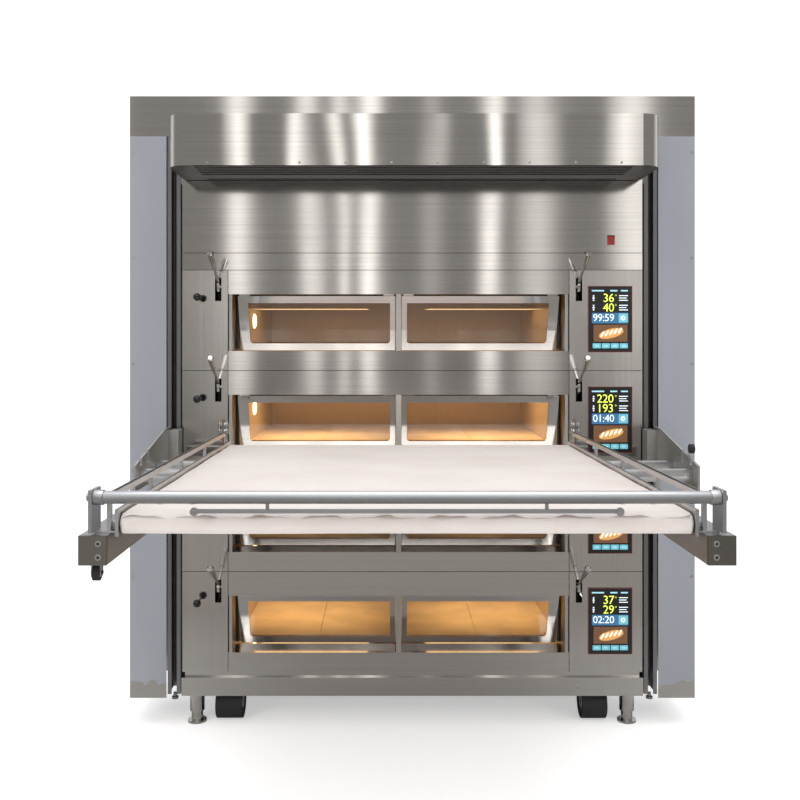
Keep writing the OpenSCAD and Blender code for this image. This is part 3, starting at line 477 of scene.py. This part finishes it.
print("dressed", sum(len(n) for n in finishes.values()), "nodes of", len(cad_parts))

# %% [markdown]
# ## Modelling helpers
#
# Everything new is made the same way: deselect, add a primitive at its size and place, apply the transform so that
# the object sits at the origin, then shape it and apply its modifiers. `settle` does the last steps for every piece.

# %% Helpers for pieces


def only(piece):
    bpy.ops.object.select_all(action="DESELECT")
    piece.select_set(True)
    bpy.context.view_layer.objects.active = piece
    return piece


def applied(piece):
    only(piece)
    bpy.ops.object.transform_apply(location=True, rotation=True, scale=True)
    return piece


def block(low, high):
    bpy.ops.object.select_all(action="DESELECT")
    low, high = Vector(low), Vector(high)
    bpy.ops.mesh.primitive_cube_add(size=1, location=(low + high) / 2)
    piece = bpy.context.object
    piece.scale = high - low
    return applied(piece)


def rod(start, end, radius, sides=32):
    bpy.ops.object.select_all(action="DESELECT")
    start, end = Vector(start), Vector(end)
    bpy.ops.mesh.primitive_cylinder_add(vertices=sides, radius=radius, depth=(end - start).length)
    piece = bpy.context.object
    piece.rotation_euler = (end - start).to_track_quat("Z", "Y").to_euler()
    piece.location = (start + end) / 2
    return applied(piece)


def ball(centre, radii, rings=14):
    bpy.ops.object.select_all(action="DESELECT")
    bpy.ops.mesh.primitive_uv_sphere_add(segments=2 * rings, ring_count=rings, radius=1, location=centre)
    piece = bpy.context.object
    piece.scale = radii
    return applied(piece)


def modify(piece, kind, **values):
    only(piece)
    modifier = piece.modifiers.new(kind.lower(), kind)
    for key, value in values.items():
        setattr(modifier, key, value)
    bpy.ops.object.modifier_apply(modifier=modifier.name)
    return piece


def rounded(piece, width, segments=2):
    return modify(piece, "BEVEL", width=width, segments=segments, limit_method="ANGLE", angle_limit=0.6)


def edit_faces(piece, wanted, *steps):
    """Selects the faces for which wanted(face) is true, then runs each step in edit mode."""
    only(piece)
    for polygon in piece.data.polygons:
        polygon.select = bool(wanted(polygon))
    for thing in list(piece.data.vertices) + list(piece.data.edges):
        thing.select = False
    bpy.ops.object.mode_set(mode="EDIT")
    bpy.ops.mesh.select_mode(type="FACE")
    bpy.ops.object.mode_set(mode="OBJECT")
    for polygon in piece.data.polygons:
        polygon.select = bool(wanted(polygon))
    bpy.ops.object.mode_set(mode="EDIT")
    for step in steps:
        step()
    bpy.ops.object.mode_set(mode="OBJECT")
    return piece


def joined(pieces):
    bpy.ops.object.select_all(action="DESELECT")
    for piece in pieces:
        piece.select_set(True)
    bpy.context.view_layer.objects.active = pieces[0]
    if len(pieces) > 1:
        bpy.ops.object.join()
    return bpy.context.view_layer.objects.active


def mirrored(piece, plane_x):
    """A copy reflected in the upright plane x = plane_x, its faces turned back outwards."""
    twin = piece.copy()
    twin.data = piece.data.copy()
    twin.data.transform(Matrix.Translation((2 * plane_x, 0, 0)) @ Matrix.Scale(-1, 4, (1, 0, 0)))
    twin.data.flip_normals()
    bpy.context.scene.collection.objects.link(twin)
    return twin


def turned(piece, centre, angle):
    """Turns a piece about the line through centre that runs along Y."""
    piece.data.transform(Matrix.Translation(centre) @ Matrix.Rotation(angle, 4, "Y") @ Matrix.Translation(-centre))
    return piece


def ring_facing_front(centre, major, minor, sides, thickness=1.0):
    bpy.ops.object.select_all(action="DESELECT")
    bpy.ops.mesh.primitive_torus_add(major_radius=major, minor_radius=minor, major_segments=sides[0],
                                     minor_segments=sides[1], location=centre, rotation=(math.radians(90), 0, 0))
    piece = bpy.context.object
    piece.scale = (1, 1, thickness)
    return applied(piece)


def settle(piece, name, material, body, smooth=35):
    only(piece)
    bpy.ops.object.shade_smooth_by_angle(angle=math.radians(smooth))
    piece.name = name
    piece.data.name = name
    piece.data.materials.clear()
    piece.data.materials.append(material)
    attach(piece, body)
    return piece


# %% [markdown]
# ## The canvas belt
#
# The belt is a closed loop of unbleached canvas, stretched over a thin nose bar at the oven's side and a thick
# roller at the front. A flat grid is the right start: it is subdivided along its length, each row of points is
# moved onto the loop's outline, and Solidify gives it the thickness of heavy cloth. The cloth is tight, so no
# simulation is needed, but it is never perfectly flat: low ripples run across it and its long edges wander a little.

# %% The loop that the cloth follows
front_roll_lo, front_roll_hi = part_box("front_roller")
nose_roll_lo, nose_roll_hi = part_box("nose_roller")
roll_c = ((front_roll_lo.y + front_roll_hi.y) / 2, (front_roll_lo.z + front_roll_hi.z) / 2)
nose_c = ((nose_roll_lo.y + nose_roll_hi.y) / 2, (nose_roll_lo.z + nose_roll_hi.z) / 2)
cloth_t = 0.0014
roll_r = (front_roll_hi.z - front_roll_lo.z) / 2 + 0.0006 + cloth_t / 2
nose_r = (nose_roll_hi.z - nose_roll_lo.z) / 2 + 0.0006 + cloth_t / 2
belt_w = belt_hi.x - belt_lo.x - 0.002
span_y, span_z = nose_c[0] - roll_c[0], nose_c[1] - roll_c[1]
lean = math.atan2(span_z, span_y)
open_angle = math.asin((roll_r - nose_r) / math.hypot(span_y, span_z))


def loop_points(rows_flat, rows_front, rows_nose):
    """Points (y, z) round the loop, from the nose along the top, round the roller and back underneath."""
    top_angle = math.pi / 2 + lean + open_angle
    low_angle = -math.pi / 2 + lean - open_angle
    on = lambda c, r, a: Vector((c[0] + r * math.cos(a), c[1] + r * math.sin(a)))
    a, b = on(nose_c, nose_r, top_angle), on(roll_c, roll_r, top_angle)
    c, d = on(roll_c, roll_r, low_angle), on(nose_c, nose_r, low_angle)
    points = [a.lerp(b, i / rows_flat) for i in range(rows_flat)]
    turn = (2 * math.pi + low_angle) - top_angle
    points += [on(roll_c, roll_r, top_angle + turn * i / rows_front) for i in range(rows_front)]
    points += [c.lerp(d, i / rows_flat) for i in range(rows_flat)]
    turn = top_angle - low_angle
    points += [on(nose_c, nose_r, low_angle + turn * i / rows_nose) for i in range(rows_nose)]
    return points


route = loop_points(70, 22, 10)

# %% Wrap a grid round the loop


def wrapped_cloth(points, width, columns, closed, ripple):
    bpy.ops.object.select_all(action="DESELECT")
    rows = len(points)
    bpy.ops.mesh.primitive_grid_add(x_subdivisions=columns, y_subdivisions=rows - 1, size=2)
    piece = bpy.context.object
    for vertex in piece.data.vertices:
        i = round((vertex.co.y + 1) / 2 * (rows - 1))
        u = vertex.co.x
        before = points[i - 1 if closed else max(i - 1, 0)]
        after = points[(i + 1) % rows if closed else min(i + 1, rows - 1)]
        along = (after - before).normalized()
        out = Vector((along.y, -along.x))
        lift = ripple * (0.5 + 0.5 * math.sin(7.0 * u + 0.13 * i)) * math.sin(2.3 * u + 0.41 * i) ** 2
        edge = 0.0012 * math.sin(0.37 * i) * (1 if u > 0 else -1) * abs(u) ** 8
        p = points[i] + out * lift
        vertex.co = (belt_x + u * width / 2 + edge, p.x, p.y)
    if closed:
        only(piece)
        bpy.ops.object.mode_set(mode="EDIT")
        bpy.ops.mesh.select_all(action="DESELECT")
        bpy.ops.mesh.select_mode(type="EDGE")
        bpy.ops.mesh.select_non_manifold()
        bpy.ops.object.mode_set(mode="OBJECT")
        limit = width / 2 * 0.985
        for edge in piece.data.edges:
            x = [piece.data.vertices[v].co.x - belt_x for v in edge.vertices]
            side = abs(x[0] - x[1]) < 1e-3 and min(abs(x[0]), abs(x[1])) > limit
            edge.select = edge.select and not side
        bpy.ops.object.mode_set(mode="EDIT")
        bpy.ops.mesh.bridge_edge_loops()
        bpy.ops.mesh.select_all(action="SELECT")
        bpy.ops.mesh.normals_make_consistent(inside=False)
        bpy.ops.object.mode_set(mode="OBJECT")
    return piece


belt = wrapped_cloth(route, belt_w, 46, True, 0.0011)
belt = modify(belt, "SOLIDIFY", thickness=cloth_t, offset=0)
print("belt mesh:", len(belt.data.polygons), "faces")

# %% [markdown]
# Canvas is a plain weave: warp and weft pass over and under each other. Two sine gratings, one along each
# direction, are multiplied for the bump; slow noise tints the cloth where it has been handled and floured.

# %% Canvas
canvas = shader("canvas_weave", (0.72, 0.66, 0.62), 0, 0.9)
bsdf_of(canvas).inputs["Sheen Weight"].default_value = 0.25
bsdf_of(canvas).inputs["Sheen Roughness"].default_value = 0.6
weave_coord = add_node(canvas, "ShaderNodeTexCoord")
gratings = []
for direction in ("X", "Y"):
    wave = add_node(canvas, "ShaderNodeTexWave", wave_type="BANDS", bands_direction=direction, Scale=130.0)
    wave.inputs["Distortion"].default_value = 0.6
    link(canvas, weave_coord.outputs["Object"], wave, "Vector")
    gratings.append(wave.outputs["Fac"])
weave = add_node(canvas, "ShaderNodeMath", operation="MULTIPLY")
link(canvas, gratings[0], weave, 0)
link(canvas, gratings[1], weave, 1)
flour = noise(canvas, 3.2, (1, 1, 1), 6, 0.6)
cloth_tint = two_tone(canvas, flour, (0.66, 0.59, 0.55), (0.76, 0.70, 0.665), 0.3, 0.68)
link(canvas, cloth_tint, bsdf_of(canvas), "Base Color")
puckers = noise(canvas, 1.0, (7, 1.4, 3), 3)
creased = bump(canvas, puckers, 0.22, 0.006)
link(canvas, bump(canvas, weave.outputs[0], 0.25, 0.0006, creased), bsdf_of(canvas), "Normal")
link(canvas, remap(canvas, flour, 0.82, 0.95), bsdf_of(canvas), "Roughness")

settle(belt, "canvas_belt_cloth", canvas, "setter", 60)
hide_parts("canvas_belt")

# %% [markdown]
# Where the two ends of the belt meet, a second layer laps over the roller: a flap with a hem that has gone a little
# wavy in use, held at its corners by press studs.

# %% The lapped end of the belt
top_turn = math.pi / 2 + lean + open_angle
flap_points = [Vector((roll_c[0] + 0.125 - 0.125 * i / 8, 0)) for i in range(8)]
for point in flap_points:
    point.y = route[0].y + (route[69].y - route[0].y) * (nose_c[0] - point.x) / (nose_c[0] - roll_c[0]) + 0.0022
lap_r = roll_r + 0.0024
for i in range(7):
    angle = top_turn + math.radians(5 + 6 * i)
    flap_points.append(Vector((roll_c[0] + lap_r * math.cos(angle), roll_c[1] + lap_r * math.sin(angle))))
flap = wrapped_cloth(flap_points, belt_w - 0.004, 90, False, 0.0)
last = len(flap_points) - 1
for vertex in flap.data.vertices:
    d = math.hypot(vertex.co.y - flap_points[last].x, vertex.co.z - flap_points[last].y)
    if d < 0.016:
        wobble = 0.0035 * math.sin(vertex.co.x * 47) + 0.002 * math.sin(vertex.co.x * 113)
        vertex.co.z += wobble * (1 - d / 0.016)
        vertex.co.y -= 0.0012 * (1 + math.sin(vertex.co.x * 61)) * (1 - d / 0.016)
flap = modify(flap, "SOLIDIFY", thickness=0.0014, offset=0)
settle(flap, "canvas_lap", canvas, "setter", 60)
studs, stud_y = [], roll_c[0] + 0.106
for x in (-0.565, -0.492, 0.498, 0.569):
    cap = rod((belt_x + x, stud_y, belt_hi.z), (belt_x + x, stud_y, belt_hi.z + 0.0045), 0.0075, 24)
    studs.append(rounded(cap, 0.0012, 3))
studs = settle(joined(studs), "press_studs", zinc, "setter")

# %% [markdown]
# ## The setter's hardware
#
# The side rails carry a toothed chain in a groove: one bevelled link, an Array modifier, and a mirrored copy.

# %% Chain in the rails
rail_lo, rail_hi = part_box("setter_rails")
rail_w = 0.013
link_step = 0.0127
link_body = block((rail_hi.x - rail_w / 2 - 0.0022, rail_lo.y + 0.015, rail_hi.z - 0.0046),
                  (rail_hi.x - rail_w / 2 + 0.0022, rail_lo.y + 0.0235, rail_hi.z + 0.0014))
rounded(link_body, 0.0012, 2)
modify(link_body, "ARRAY", count=int((rail_hi.y - rail_lo.y - 0.034) / link_step), use_relative_offset=False,
       use_constant_offset=True, constant_offset_displace=(0, link_step, 0))
rail_mid = (rail_lo.x + rail_hi.x) / 2
settle(joined([link_body, mirrored(link_body, rail_mid)]), "rail_chain", chain_steel, "setter")

# %% [markdown]
# At the oven end each rail is held by a bronze-coloured bracket with two polished caps; a cube is bevelled for the
# bracket, and flattened spheres on short collars make the caps.

# %% Nose brackets
nose_y = rail_hi.y
bracket = block((rail_hi.x - 0.012, nose_y - 0.034, rail_lo.z),
                (rail_hi.x - 0.004, nose_y - 0.002, rail_hi.z + 0.052))
edit_faces(bracket, lambda f: f.normal.z > 0.9, lambda: bpy.ops.transform.resize(value=(1, 0.45, 1)))
rounded(bracket, 0.0018)
caps = []
for dz, r in ((0.030, 0.0115), (0.006, 0.0135)):
    centre = Vector((rail_hi.x - 0.008, nose_y - 0.018, rail_hi.z + dz))
    inner, outer = centre - Vector((0.014, 0, 0)), centre + Vector((0.012, 0, 0))
    caps += [rounded(rod(inner, outer, r * 0.72, 24), 0.001), ball(inner, (0.007, r, r)), ball(outer, (0.006, r, r))]
caps = joined(caps)
bronze = moulded("bronzed_bracket", (0.26, 0.20, 0.14), (0.25, 0.38), 400, 0.05, 0.9)
settle(joined([bracket, mirrored(bracket, rail_mid)]), "nose_brackets", bronze, "setter")
settle(joined([caps, mirrored(caps, rail_mid)]), "nose_bracket_caps", bright, "setter")

# %% Handle ends, roller ends and their nuts
bar_lo, bar_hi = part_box("handle_bar")
bar_y, bar_z = bar_lo.y + 0.017, bar_hi.z - 0.017
bolt = rounded(rod((bar_hi.x - 0.001, bar_y, bar_z), (bar_hi.x + 0.007, bar_y, bar_z), 0.0095, 6), 0.0012)
washer = rounded(rod((bar_hi.x - 0.001, bar_y, bar_z), (bar_hi.x + 0.0015, bar_y, bar_z), 0.0125, 28), 0.0005)
collar = rounded(rod((bar_hi.x - 0.030, bar_y, bar_z), (bar_hi.x - 0.008, bar_y, bar_z), 0.0165, 32), 0.002, 3)
ends = joined([bolt, washer, collar])
settle(joined([ends, mirrored(ends, (bar_lo.x + bar_hi.x) / 2)]), "handle_ends", zinc, "setter")
roll_end = front_roll_hi.x
ring = rounded(rod((roll_end - 0.0065, *roll_c), (roll_end - 0.0015, *roll_c), 0.0145, 32), 0.001)
nut = rounded(rod((roll_end - 0.0015, *roll_c), (roll_end + 0.006, *roll_c), 0.011, 6), 0.001)
roll_mid = (front_roll_lo.x + front_roll_hi.x) / 2
settle(joined([ring, mirrored(ring, roll_mid)]), "roller_rings", copper, "setter")
settle(joined([nut, mirrored(nut, roll_mid)]), "roller_nuts", zinc, "setter")
print("setter hardware done")

# %% [markdown]
# ## Slotted cross bars
#
# The cross bars are aluminium extrusions with a slot along each side. Inset on the four long faces, then extrude
# inwards, gives exactly that, and these pieces stand for the CAD's plain bars.

# %% Cross bars
cross_lo, cross_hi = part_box("cross_bars")
beam_lo, beam_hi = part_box("loader_beams")
beam_w = 0.060
bar_s = cross_hi.z - cross_lo.z


def slotted_bar(x0, x1, y0):
    bar = block((x0, y0, cross_lo.z), (x1, y0 + bar_s, cross_hi.z))
    edit_faces(bar, lambda f: abs(f.normal.x) < 0.5,
               lambda: bpy.ops.mesh.inset(thickness=bar_s * 0.38, use_individual=True),
               lambda: bpy.ops.mesh.extrude_region_shrink_fatten(TRANSFORM_OT_shrink_fatten={"value": -bar_s * 0.2}))
    return rounded(bar, 0.0008)


slotted = []
for y0 in (cross_lo.y, cross_hi.y - bar_s):
    slotted.append(slotted_bar(cross_lo.x, beam_lo.x, y0))
    slotted.append(slotted_bar(beam_lo.x + beam_w, beam_hi.x - beam_w, y0))
    slotted.append(slotted_bar(beam_hi.x, cross_hi.x, y0))
cross_bars = settle(joined(slotted), "slotted_cross_bars", bar_metal, "carriage")
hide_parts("cross_bars")

# %% [markdown]
# ## Touch screens
#
# Each deck has a tall touch screen. Its picture is built as very thin plates on the bezel: bars and buttons are
# bevelled blocks, figures are text objects turned into meshes, and the little loaf is a flattened sphere with
# pale slashes. All of them glow a little, as a display does.

# %% Display colours


def glowing(name, colour, strength):
    material = shader(name, colour, 0, 0.35)
    bsdf_of(material).inputs["Emission Color"].default_value = (*colour, 1)
    bsdf_of(material).inputs["Emission Strength"].default_value = strength
    grid = noise(material, 900.0, (1, 1, 1), 2)
    link(material, bump(material, grid, 0.04, 0.0003), bsdf_of(material), "Normal")
    return material


lit_yellow = glowing("display_yellow", (0.72, 0.86, 0.10), 0.75)
lit_white = glowing("display_white", (0.80, 0.90, 0.95), 0.6)
lit_blue = glowing("display_blue", (0.035, 0.14, 0.28), 0.45)
lit_tile = glowing("display_tile", (0.14, 0.42, 0.50), 0.5)
lit_pale = glowing("display_pale", (0.35, 0.62, 0.74), 0.45)
lit_wood = glowing("display_wood", (0.16, 0.075, 0.035), 0.3)
lit_crust = glowing("display_crust", (0.62, 0.30, 0.09), 0.5)
lit_crumb = glowing("display_crumb", (0.90, 0.82, 0.66), 0.5)
rim_red = moulded("screen_rim", (0.22, 0.02, 0.025), (0.3, 0.42), depth=0.01)

# %% Build one screen, then the four
screen_lo, screen_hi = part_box("screens")
screen_w = screen_hi.x - screen_lo.x
screen_h = screen_hi.z - screen_lo.z - 3 * pitch
face_y = screen_lo.y


def on_screen(k, x, y):
    return Vector((screen_lo.x + x * screen_w, face_y, screen_hi.z - k * pitch - y * screen_h))


def plate(k, x0, y0, x1, y1, level=1, radius=0.0):
    low, high = on_screen(k, x0, y1), on_screen(k, x1, y0)
    piece = block((low.x, face_y - 0.0003 * level, low.z), (high.x, face_y + 0.0002, high.z))
    if radius:
        edges = [e for e in piece.data.edges
                 if abs(piece.data.vertices[e.vertices[0]].co.y - piece.data.vertices[e.vertices[1]].co.y) > 1e-5]
        only(piece)
        weights = piece.data.attributes.new("bevel_weight_edge", "FLOAT", "EDGE")
        for edge in edges:
            weights.data[edge.index].value = 1.0
        modify(piece, "BEVEL", width=radius, segments=4, limit_method="WEIGHT")
    return piece


def figures(k, words, x, y, size, level=2):
    bpy.ops.object.select_all(action="DESELECT")
    bpy.ops.object.text_add(location=(0, 0, 0))
    piece = bpy.context.object
    piece.data.body = words
    piece.data.size = size
    piece.data.extrude = 0.00015
    piece.data.resolution_u = 3
    piece.data.space_character = 0.94
    bpy.ops.object.convert(target="MESH")
    piece = bpy.context.object
    place = on_screen(k, x, y)
    piece.rotation_euler = (math.radians(90), 0, 0)
    piece.location = (place.x, face_y - 0.0003 * level - 0.0001, place.z)
    return applied(piece)


rows = [("36", "40", "99:59"), ("220", "193", "01:40"), ("180", "175", "12:00"), ("37", "29", "02:20")]
for k, (upper, lower, timer) in enumerate(rows):
    yellow, white, pale, crumb = [], [], [], []
    pale.append(plate(k, 0.08, 0.06, 0.36, 0.082))
    pale.append(plate(k, 0.50, 0.06, 0.66, 0.082))
    pale.append(plate(k, 0.74, 0.06, 0.90, 0.082))
    for word, y in ((upper, 0.24), (lower, 0.385)):
        start = 0.19 if len(word) == 3 else 0.33
        yellow.append(figures(k, word, start, y, 0.046))
        place = on_screen(k, 0.625, y - 0.10)
        yellow.append(ring_facing_front((place.x, face_y - 0.0004, place.z), 0.0026, 0.0006, (16, 6)))
        for step in range(3):
            white.append(plate(k, 0.70, y - 0.10 + 0.035 * step, 0.90 - 0.03 * (step % 2), y - 0.088 + 0.035 * step))
        for step, width in enumerate((0.03, 0.045, 0.03)):
            top = y - 0.10 + 0.032 * step
            white.append(plate(k, 0.12 - width / 2, top, 0.12 + width / 2, top + 0.02))
    settle(joined(yellow), "screen_%d_heat" % (k + 1), lit_yellow, "root")
    settle(plate(k, 0.08, 0.405, 0.91, 0.565, 1, 0.003), "screen_%d_band" % (k + 1), lit_blue, "root")
    white.append(figures(k, timer, 0.10, 0.53, 0.040))
    centre = on_screen(k, 0.79, 0.483)
    for tooth in range(8):
        cog = block((centre.x - 0.0016, face_y - 0.0009, centre.z + 0.0065),
                    (centre.x + 0.0016, face_y - 0.0004, centre.z + 0.0095))
        white.append(turned(cog, centre, tooth * math.pi / 4))
    white.append(ring_facing_front((centre.x, face_y - 0.0007, centre.z), 0.0058, 0.0019, (24, 6), 0.15))
    settle(joined(white), "screen_%d_marks" % (k + 1), lit_white, "root")
    settle(plate(k, 0.69, 0.415, 0.90, 0.55, 2, 0.003), "screen_%d_tile" % (k + 1), lit_tile, "root")
    settle(plate(k, 0.12, 0.585, 0.89, 0.84), "screen_%d_board" % (k + 1), lit_wood, "root")
    centre = on_screen(k, 0.52, 0.715)
    loaf = turned(ball(centre, (0.052, 0.0009, 0.019), 16), centre, math.radians(-14))
    settle(loaf, "screen_%d_loaf" % (k + 1), lit_crust, "root")
    for i in range(5):
        place = centre + Vector((-0.034 + 0.017 * i, -0.0006, 0.0035 + 0.0036 * (i - 2)))
        crumb.append(turned(ball(place, (0.0045, 0.0009, 0.0135), 8), place, math.radians(32)))
    settle(joined(crumb), "screen_%d_slashes" % (k + 1), lit_crumb, "root")
    keys = [plate(k, 0.10 + 0.205 * i, 0.865, 0.285 + 0.205 * i, 0.94, 1, 0.0025) for i in range(4)]
    settle(joined(keys), "screen_%d_keys" % (k + 1), lit_tile, "root")
    pale += [plate(k, 0.15 + 0.205 * i, 0.892, 0.235 + 0.205 * i, 0.912, 2) for i in range(4)]
    settle(joined(pale), "screen_%d_signs" % (k + 1), lit_pale, "root")
    edge = 0.011
    rim = [plate(k, 0, 0, 1, edge * 0.66, 1), plate(k, 0, 1 - edge * 0.66, 1, 1, 1),
           plate(k, 0, edge * 0.66, edge, 1 - edge * 0.66, 1), plate(k, 1 - edge, edge * 0.66, 1, 1 - edge * 0.66, 1)]
    settle(joined(rim), "screen_%d_rim" % (k + 1), rim_red, "root")
print("screens done")

# %% [markdown]
# ## Small parts on the front
#
# A round plug closes a spare hole in the plinth, and two socket screws hold each bronzed plate on the beams' ends.

# %% Plinth plug
plug = rounded(rod((0.64, front - 0.0085, 0.152), (0.64, front - 0.006, 0.152), 0.010, 28), 0.0008)
settle(plug, "plinth_plug", zinc, "root")

# %% Screws on the beam end plates
caps, socket_shade = [], []
plate_y = beam_lo.y
for x in (beam_lo.x + 0.042, beam_hi.x - 0.042):
    for z in (beam_hi.z - 0.017, beam_hi.z - 0.046):
        caps.append(rounded(rod((x, plate_y - 0.0002, z), (x, plate_y + 0.003, z), 0.0068, 28), 0.0001))
        # The black hexagon on each cap is painted shade for the screw's socket recess.
        socket_shade.append(rod((x, plate_y - 0.0003, z), (x, plate_y + 0.003, z), 0.0034, 6))
settle(joined(caps), "end_plate_screws", zinc, "carriage")
settle(joined(socket_shade), "end_plate_sockets", black_matt, "carriage")

# %% [markdown]
# A black star knob locks the loader's right gusset. It is a squat cylinder whose side faces are inset one by one
# and pushed in, which leaves the lobes standing.

# %% Lock knob
knob_x, knob_y, knob_z = 0.9339, front - 0.42, 1.118
knob = rod((knob_x, knob_y, knob_z), (knob_x + 0.016, knob_y, knob_z), 0.016, 16)
edit_faces(knob, lambda f: abs(f.normal.x) < 0.3 and f.index % 2 == 0,
           lambda: bpy.ops.mesh.inset(thickness=0.0008, use_individual=True),
           lambda: bpy.ops.mesh.extrude_region_shrink_fatten(TRANSFORM_OT_shrink_fatten={"value": -0.003}))
rounded(knob, 0.001)
settle(knob, "gusset_knob", black_matt, "carriage")

# %% [markdown]
# ## Castors
#
# The rubber wheels get what their plain discs lack: a rounded tread, a recessed rim and a grey hub with a bolt.
# The new wheels keep the width, radius and centre of the CAD wheels, which they replace.

# %% Wheels


def wheel(centre, radius, width, bore):
    c = Vector(centre)
    half = Vector((width / 2, 0, 0))
    tyre = rod(c - half, c + half, radius, 64)
    edit_faces(tyre, lambda f: abs(f.normal.x) > 0.9,
               lambda: bpy.ops.mesh.inset(thickness=radius * 0.24, use_individual=True),
               lambda: bpy.ops.mesh.extrude_region_shrink_fatten(TRANSFORM_OT_shrink_fatten={"value": -0.004}))
    rounded(tyre, 0.0045, 4)
    hub = rod(c - half * 0.96, c + half * 0.96, radius * 0.36, 40)
    edit_faces(hub, lambda f: abs(f.normal.x) > 0.9,
               lambda: bpy.ops.mesh.inset(thickness=radius * 0.1, use_individual=True),
               lambda: bpy.ops.mesh.extrude_region_shrink_fatten(TRANSFORM_OT_shrink_fatten={"value": -0.003}))
    rounded(hub, 0.0008)
    for piece in (tyre, hub):
        drill = rod(c - half * 1.2, c + half * 1.2, bore, 32)
        modify(piece, "BOOLEAN", operation="DIFFERENCE", object=drill, solver="EXACT")
        bpy.data.objects.remove(drill)
    return tyre, hub


groups = {"front_wheel_left": [], "front_wheel_right": [], "rear_wheels": []}
for node in groups:
    lo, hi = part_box(node)
    radius = (hi.z - lo.z) / 2
    middle = ((lo.y + hi.y) / 2, (lo.z + hi.z) / 2)
    if node == "rear_wheels":
        front_lo, front_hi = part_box("front_wheel_left")
        width = front_hi.x - front_lo.x
        centres = [(lo.x + width / 2, *middle), (hi.x - width / 2, *middle)]
    else:
        width = hi.x - lo.x
        centres = [((lo.x + hi.x) / 2, *middle)]
    pairs = [wheel(c, radius, width, 0.0068) for c in centres]
    body = node
    tyres = settle(joined([t for t, h in pairs]), node + "_tyre", black_matt, body, 50)
    hubs = settle(joined([h for t, h in pairs]), node + "_hub", grey_hub, body)
    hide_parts(node)
    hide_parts(node)

# %% [markdown]
# ## Sides, back and roof
#
# The casing's sides carry service panels held by screws, with rows of louvres. One louvre is a bevelled block with
# its lower edge drawn in; an Array modifier repeats it.

# %% Service panels on both sides
casing_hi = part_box("outer_casing")[1]
side_x = casing_hi.x
panel_y = (0.40, casing_hi.y - 0.06)
panels, vents, heads = [], [], []
for k in range(decks):
    z1 = deck_top[k] - 0.014
    z0 = z1 - pitch + 0.028
    sheet_piece = block((side_x - 0.0002, panel_y[0], z0), (side_x + 0.0016, panel_y[1], z1))
    panels.append(rounded(sheet_piece, 0.0006))
    for y in (panel_y[0] + 0.018, (panel_y[0] + panel_y[1]) / 2, panel_y[1] - 0.018):
        for z in (z0 + 0.018, z1 - 0.018):
            heads.append(ball((side_x + 0.0016, y, z), (0.0026, 0.0055, 0.0055), 8))
    slat = block((side_x + 0.0012, panel_y[1] - 0.36, z0 + 0.07), (side_x + 0.0075, panel_y[1] - 0.10, z0 + 0.078))
    edit_faces(slat, lambda f: f.normal.x > 0.9, lambda: bpy.ops.transform.translate(value=(0, 0, -0.004)),
               lambda: bpy.ops.transform.resize(value=(1, 0.97, 0.5)))
    rounded(slat, 0.0008)
    vents.append(modify(slat, "ARRAY", count=12, use_relative_offset=False, use_constant_offset=True,
                        constant_offset_displace=(0, 0, 0.019)))
for name, pieces, material, slot in (("side_panels", panels, steel_z, "stainless"),
                                     ("side_louvres", vents, steel_dull, "stainless"),
                                     ("side_screws", heads, zinc, "chrome")):
    piece = joined(pieces)
    settle(joined([piece, mirrored(piece, 0)]), name, material, "root")

# %% Back plates and their screws
back_y = casing_hi.y
plates, heads = [], []
for k in range(decks):
    z1 = deck_top[k] - 0.016
    z0 = z1 - pitch + 0.032
    for s in (-1, 1):
        x0, x1 = sorted((s * 0.03, s * (side_x - 0.04)))
        plates.append(block((x0, back_y - 0.0008, z0), (x1, back_y + 0.0002, z1)))
        for x in (x0 + 0.02, (x0 + x1) / 2, x1 - 0.02):
            for z in (z0 + 0.02, z1 - 0.02):
                heads.append(rod((x, back_y - 0.001, z), (x, back_y + 0.0003, z), 0.005, 16))
settle(joined(plates), "back_panels", steel_z, "root")
settle(joined(heads), "back_screws", black_matt, "root")

# %% [markdown]
# The mains cable enters through a terminal box low on the right side, and four lifting eyes stand on the roof.

# %% Terminal box, gland and lifting eyes
box_piece = block((side_x + 0.001, casing_hi.y - 0.30, 0.235), (side_x + 0.072, casing_hi.y - 0.12, 0.385))
edit_faces(box_piece, lambda f: f.normal.x > 0.9, lambda: bpy.ops.mesh.inset(thickness=0.008),
           lambda: bpy.ops.mesh.extrude_region_shrink_fatten(TRANSFORM_OT_shrink_fatten={"value": 0.003}))
settle(rounded(box_piece, 0.0018, 3), "terminal_box", grey_hub, "root")
gland_at = (side_x + 0.037, casing_hi.y - 0.21)
gland = [rounded(rod((*gland_at, 0.215), (*gland_at, 0.2355), 0.019, 6), 0.0012),
         rounded(rod((*gland_at, 0.197), (*gland_at, 0.216), 0.0145, 28), 0.003, 3)]
settle(joined(gland), "cable_gland", black_matt, "root")
roof_z = 2.099
eyes = []
for x in (-0.7, 0.7):
    for y in (0.75, 1.42):
        eyes.append(ring_facing_front((x, y, roof_z + 0.036), 0.022, 0.005, (32, 12)))
        eyes.append(rounded(rod((x, y, roof_z - 0.001), (x, y, roof_z + 0.012), 0.017, 28), 0.002))
settle(joined(eyes), "lifting_eyes", zinc, "root")

# %% [markdown]
# Between each door's end and the jamb stands a dark strip, which is painted shade for the deep gap there. It is
# narrower than the gap, so the doors swing past it, and it leaves the setter's width free.

# %% Dark strips of painted shade beside the doors
strips, strip_in, strip_out = [], 0.6345, 0.6438
for k in range(decks):
    for s in (-1, 1):
        x0, x1 = sorted((door_x + s * strip_in, door_x + s * strip_out))
        # Each strip is painted shade for the gap between a door and its jamb.
        strips.append(block((x0, front + 0.104, deck_top[k] - 0.305), (x1, front + 0.132, deck_top[k] - 0.045)))
settle(rounded(joined(strips), 0.0015), "door_heat_strips", dark_steel, "root")
print("details done")
